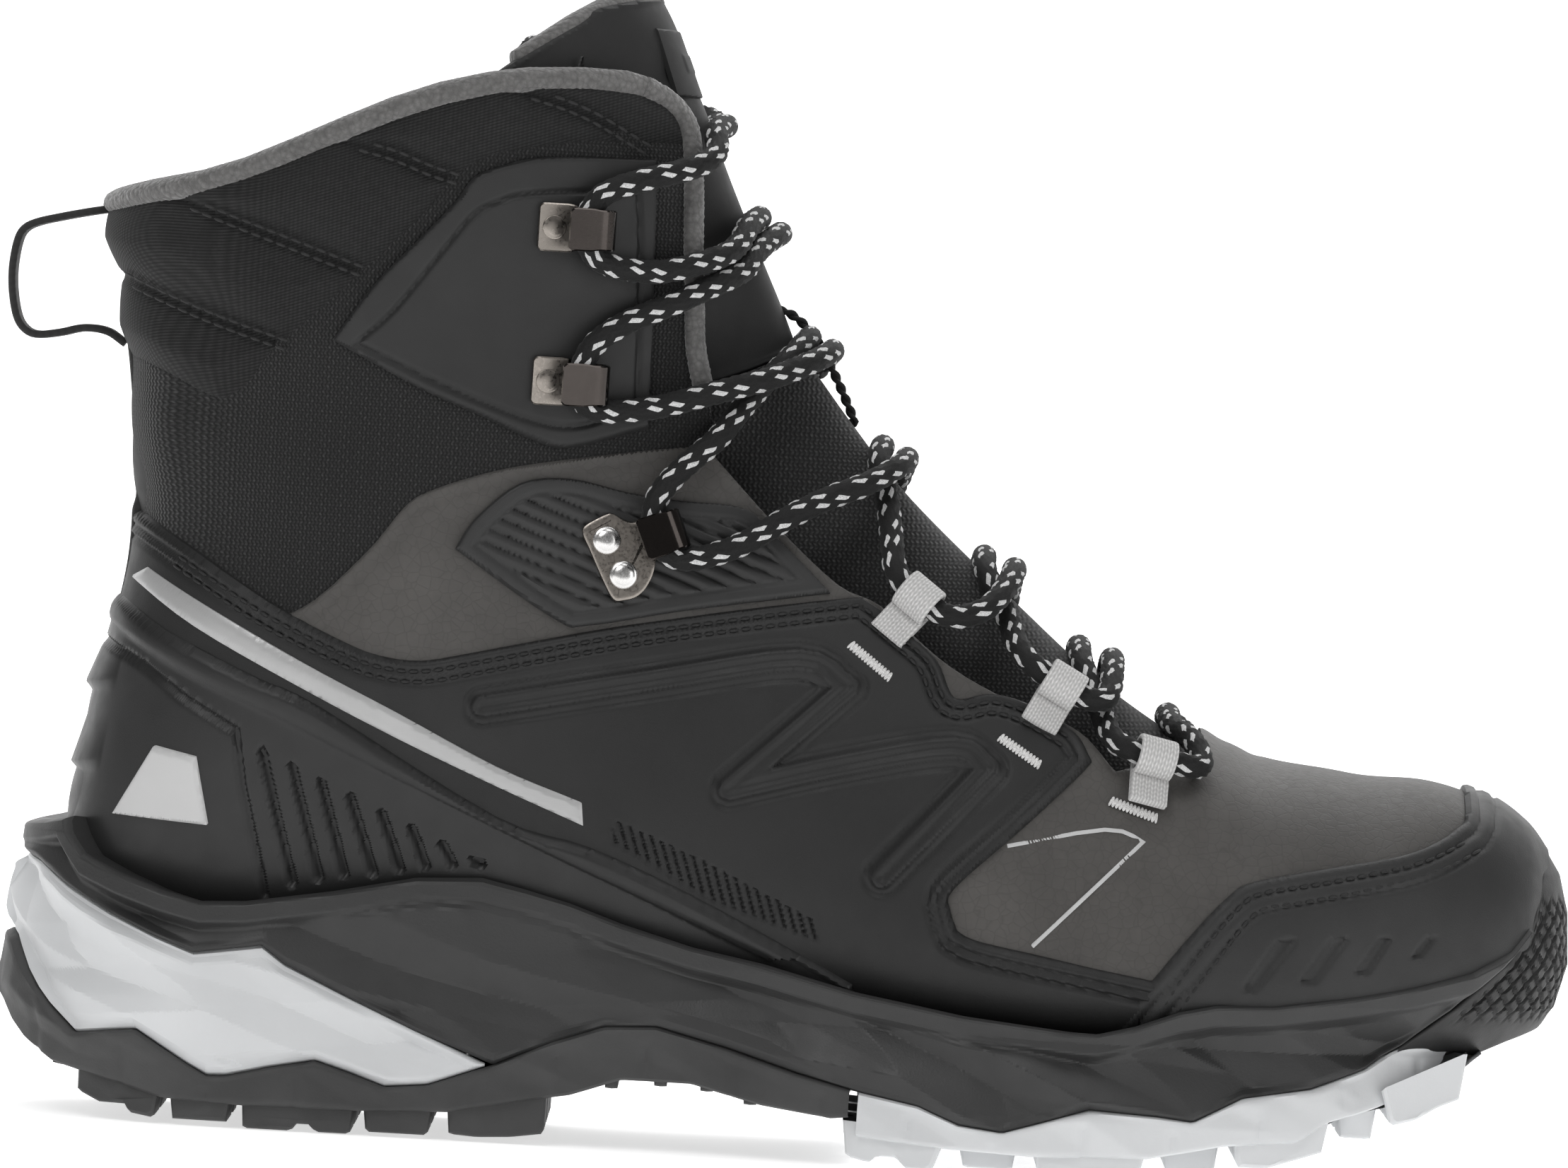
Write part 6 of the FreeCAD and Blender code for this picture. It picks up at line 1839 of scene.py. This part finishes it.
def keeper():
    """Twisted cord loop on the front of the tongue."""
    path = resample(smooth_line(KEEPER, False), 0.4)
    run, along = run_of(path), tangents(path)
    line = np.stack((path[:, 0], 0 * run, path[:, 1]), -1)
    out = np.stack((-along[:, 1], 0 * run, along[:, 0]), -1)
    across = np.array((0.0, 1.0, 0.0))
    angle = np.arange(STRAND_RING) * TAU / STRAND_RING
    parts = []
    for strand in (0, math.pi):
        turn = (run * TAU / STRAND_TURN + strand)[:, None]
        centre = line + (out * np.cos(turn) + across * np.sin(turn)) * STRAND_OFF
        points = (centre[:, None] + out[:, None] * np.cos(angle)[None, :, None] * STRAND_R
                  + across * np.sin(angle)[None, :, None] * STRAND_R)
        parts.append((points.reshape(-1, 3), tube(len(path), STRAND_RING)))
    joined("keeper_cord", parts, "lace_black", ("tongue_keeper",), "tongue", 80)


FOOTBED_T = 4.4
FOOTBED_ROUND = 1.4
FOOTBED_DEPTH = -7.8     # its edge, inside the lining
FOOTBED_GAP = 0.3


def footbed():
    """Moulded insole: flat underneath, with a raised rim round the heel and rounded edges."""
    low = np.array(((22, 41), (36, 36.8), (70, 37.6), (108, 36.2), (148, 31.6), (184, 28.7), (214, 27.8),
                    (240, 28.7), (261, 31.7), (276, 35.6)), float)
    xs, ys = np.linspace(23.5, 274.5, 210), np.linspace(-1, 1, 61)
    base = np.interp(xs, low[:, 0], low[:, 1])
    base = np.convolve(np.pad(base, 6, mode="edge"), np.ones(13) / 13, "valid")
    sides = []
    for side in (LATERAL, MEDIAL):
        u, angle = locate(xs, base + 2.6, FOOTBED_DEPTH, side)
        sides.append(body_point(u, angle, FOOTBED_DEPTH)[:, 1])
    left, right = sides
    tip = np.sqrt(np.clip((xs - xs[0]) / 6, 0, 1)) * np.sqrt(np.clip((xs[-1] - xs) / 8, 0, 1))
    middle, half = (left + right) / 2, (right - left) / 2 * (0.6 + 0.4 * tip)
    x, s = np.meshgrid(xs, ys, indexing="ij")
    y = middle[:, None] + half[:, None] * s
    edge = np.minimum(half[:, None] * (1 - np.abs(s)), np.minimum(x - xs[0], xs[-1] - x))
    cup = 0.6 * np.abs(s) ** 4 - 0.5 * (1 - s * s) * np.exp(-((x - 55) / 28) ** 2)
    top = base[:, None] + FOOTBED_T + cup - round_off(edge, FOOTBED_ROUND)
    low = np.broadcast_to(base[:, None] + FOOTBED_GAP, x.shape)
    points = np.concatenate([np.stack((x, y, z), -1).reshape(-1, 3) for z in (top, low)])
    under = sheet(*x.shape)
    faces = [[a, d, c, b] for a, b, c, d in under] + [[v + x.size for v in f] for f in under]
    faces += [[a, b, b + x.size, a + x.size] for a, b in border(*x.shape)]
    weave = np.stack((x, y), -1).reshape(-1, 2)
    ob = piece("footbed_cushion", points, faces, "footbed_cloth", "footbed", ("footbed",),
               np.concatenate((weave, weave)), 50)


# ---------------------------------------------------------------- stitching and hidden pieces

TOE_ROWS = (
    ((287.4, 77.8), (287.3, 73.2), (284.1, 69.1), (277.4, 65.7), (269.8, 63.3), (254.6, 59.7), (244.0, 57.6),
     (239.6, 54.2), (232.4, 44.6), (225.4, 32.6)),
    ((290.6, 76.5), (290.5, 71.1), (287.3, 67.8), (279.8, 63.9), (266.2, 59.6), (251.0, 56.0), (244.9, 54.9),
     (241.2, 51.6), (235.6, 43.2), (229.2, 33.6)),
)


def inset(line, distance):
    """The line moved to its right by a distance."""
    p = smooth_line(line, False)
    return p + turned_right(tangents(p)) * distance


def stitching():
    rows = []
    for side in (LATERAL, MEDIAL):
        for row in TOE_ROWS:
            rows += stitch_pairs(row[2:], 1.32, side, 2.3, 0.7)
        for depth in (2.0, 4.0):
            rows += stitch_pairs(inset(OVERLAY_TOP[2:20], depth), 1.3, side, 2.4, 0.7)
        for line in QUILT_LINES:
            for off in (-0.9, 0.9):
                spots = inset(line, off)
                below = spots[:, 1] < np.interp(spots[:, 0], *np.array(COLLAR_EDGE).T) - 1.5
                rows += stitch_pairs(spots[below & (spots[:, 0] > 16)], 1.0, side, 2.6, 0.7)
    beads("seam_threads", rows, 0.3, "thread")


HIDDEN_LOOKS = {
    "outsole_heel": "black_rubber", "outsole_forefoot": "grey_rubber", "outsole_toe_bumper": "bumper_rubber",
    "midsole": "midsole_foam", "heel_insert": "grey_rubber", "shank": "nylon", "lasting_board": "board_fibre",
    "toe_puff": "foam", "heel_counter": "nylon", "bootie_lining": "fleece", "ankle_padding": "neoprene",
}


def hidden_pieces():
    """Looks for the CAD pieces that stay in the scene as they are."""
    for node, look in HIDDEN_LOOKS.items():
        for slot in bpy.data.objects[node].material_slots:
            slot.material = MATERIALS[look]


lace()
keeper()
footbed()
stitching()
hidden_pieces()


# ---------------------------------------------------------------- floor, light and camera

LAMP_AIM = Vector((0.0, 0.0, 0.1))
SKY = 0.16
# Name, place and size in metres, power in watts
LAMPS = (
    ("key", (-0.5, -1.1, 1.3), (0.9, 0.9), 9),
    ("top", (0.1, 0.1, 1.6), (1.4, 0.9), 9),
    ("fill", (1.2, -1.0, 0.5), (0.8, 0.8), 3.5),
    ("back", (0.3, 0.8, 1.0), (1.0, 0.6), 4),
)


def lamp(name, place, size, power):
    data = bpy.data.lights.new(name, "AREA")
    data.shape = "RECTANGLE"
    data.size, data.size_y = size
    data.energy = power
    ob = bpy.data.objects.new(name, data)
    bpy.context.scene.collection.objects.link(ob)
    ob.location = place
    ob.rotation_euler = (LAMP_AIM - Vector(place)).to_track_quat("-Z", "Y").to_euler()
    ob.visible_camera = False


# In metres: the floor and its wall lie beyond every place that the camera takes
FLOOR_REACH = 8.0
WALL = 6.0
WALL_BEND = 0.9
WALL_TOP = 7.0


def make_stage():
    """A pale floor with a wall far behind the boot, soft light from above and both sides."""
    bend = [(WALL + WALL_BEND * math.sin(a), WALL_BEND - WALL_BEND * math.cos(a))
            for a in np.linspace(0.1, math.pi / 2, 12)]
    profile = [(-FLOOR_REACH, 0.0), (WALL, 0.0)] + bend + [(WALL + WALL_BEND, WALL_TOP)]
    points = [(x, y, z) for x in (-FLOOR_REACH, FLOOR_REACH) for y, z in profile]
    n = len(profile)
    faces = [[k, k + 1, n + k + 1, n + k] for k in range(n - 1)]
    me = bpy.data.meshes.new("floor")
    me.from_pydata(points, [], faces)
    me.polygons.foreach_set("use_smooth", [True] * len(me.polygons))
    me.materials.append(MATERIALS["floor"])
    ob = bpy.data.objects.new("floor", me)
    bpy.context.scene.collection.objects.link(ob)
    world = bpy.data.worlds.new("studio")
    bpy.context.scene.world = world
    world.use_nodes = True
    sky = world.node_tree.nodes["Background"]
    sky.inputs[0].default_value = (1, 1, 1, 1)
    sky.inputs[1].default_value = SKY
    bpy.context.scene.view_settings.view_transform = "Standard"
    for values in LAMPS:
        lamp(*values)


ROLL = math.radians(3.36)          # the boot stands with its heel slightly higher in the view
VIEW_CENTRE = (148.8, 0.0, 110.8)
VIEW_WIDTH = 308.0
RISE = math.radians(1.2)
DISTANCE = 2600.0
SENSOR = 36.0


def make_camera():
    centre = Vector(metres(VIEW_CENTRE))
    data = bpy.data.cameras.new("camera")
    data.sensor_width = SENSOR
    data.lens = SENSOR * DISTANCE / VIEW_WIDTH
    data.clip_start, data.clip_end = 0.1, 20
    ob = bpy.data.objects.new("camera", data)
    bpy.context.scene.collection.objects.link(ob)
    back = Vector((0, -math.cos(RISE), math.sin(RISE)))
    right = Vector((math.cos(ROLL), 0, math.sin(ROLL)))
    up = back.cross(right).normalized()
    right = up.cross(back).normalized()
    ob.matrix_world = Matrix((
        (right.x, up.x, back.x, centre.x + back.x * DISTANCE / 1000),
        (right.y, up.y, back.y, centre.y + back.y * DISTANCE / 1000),
        (right.z, up.z, back.z, centre.z + back.z * DISTANCE / 1000),
        (0, 0, 0, 1)))
    bpy.context.scene.camera = ob


make_stage()
make_camera()
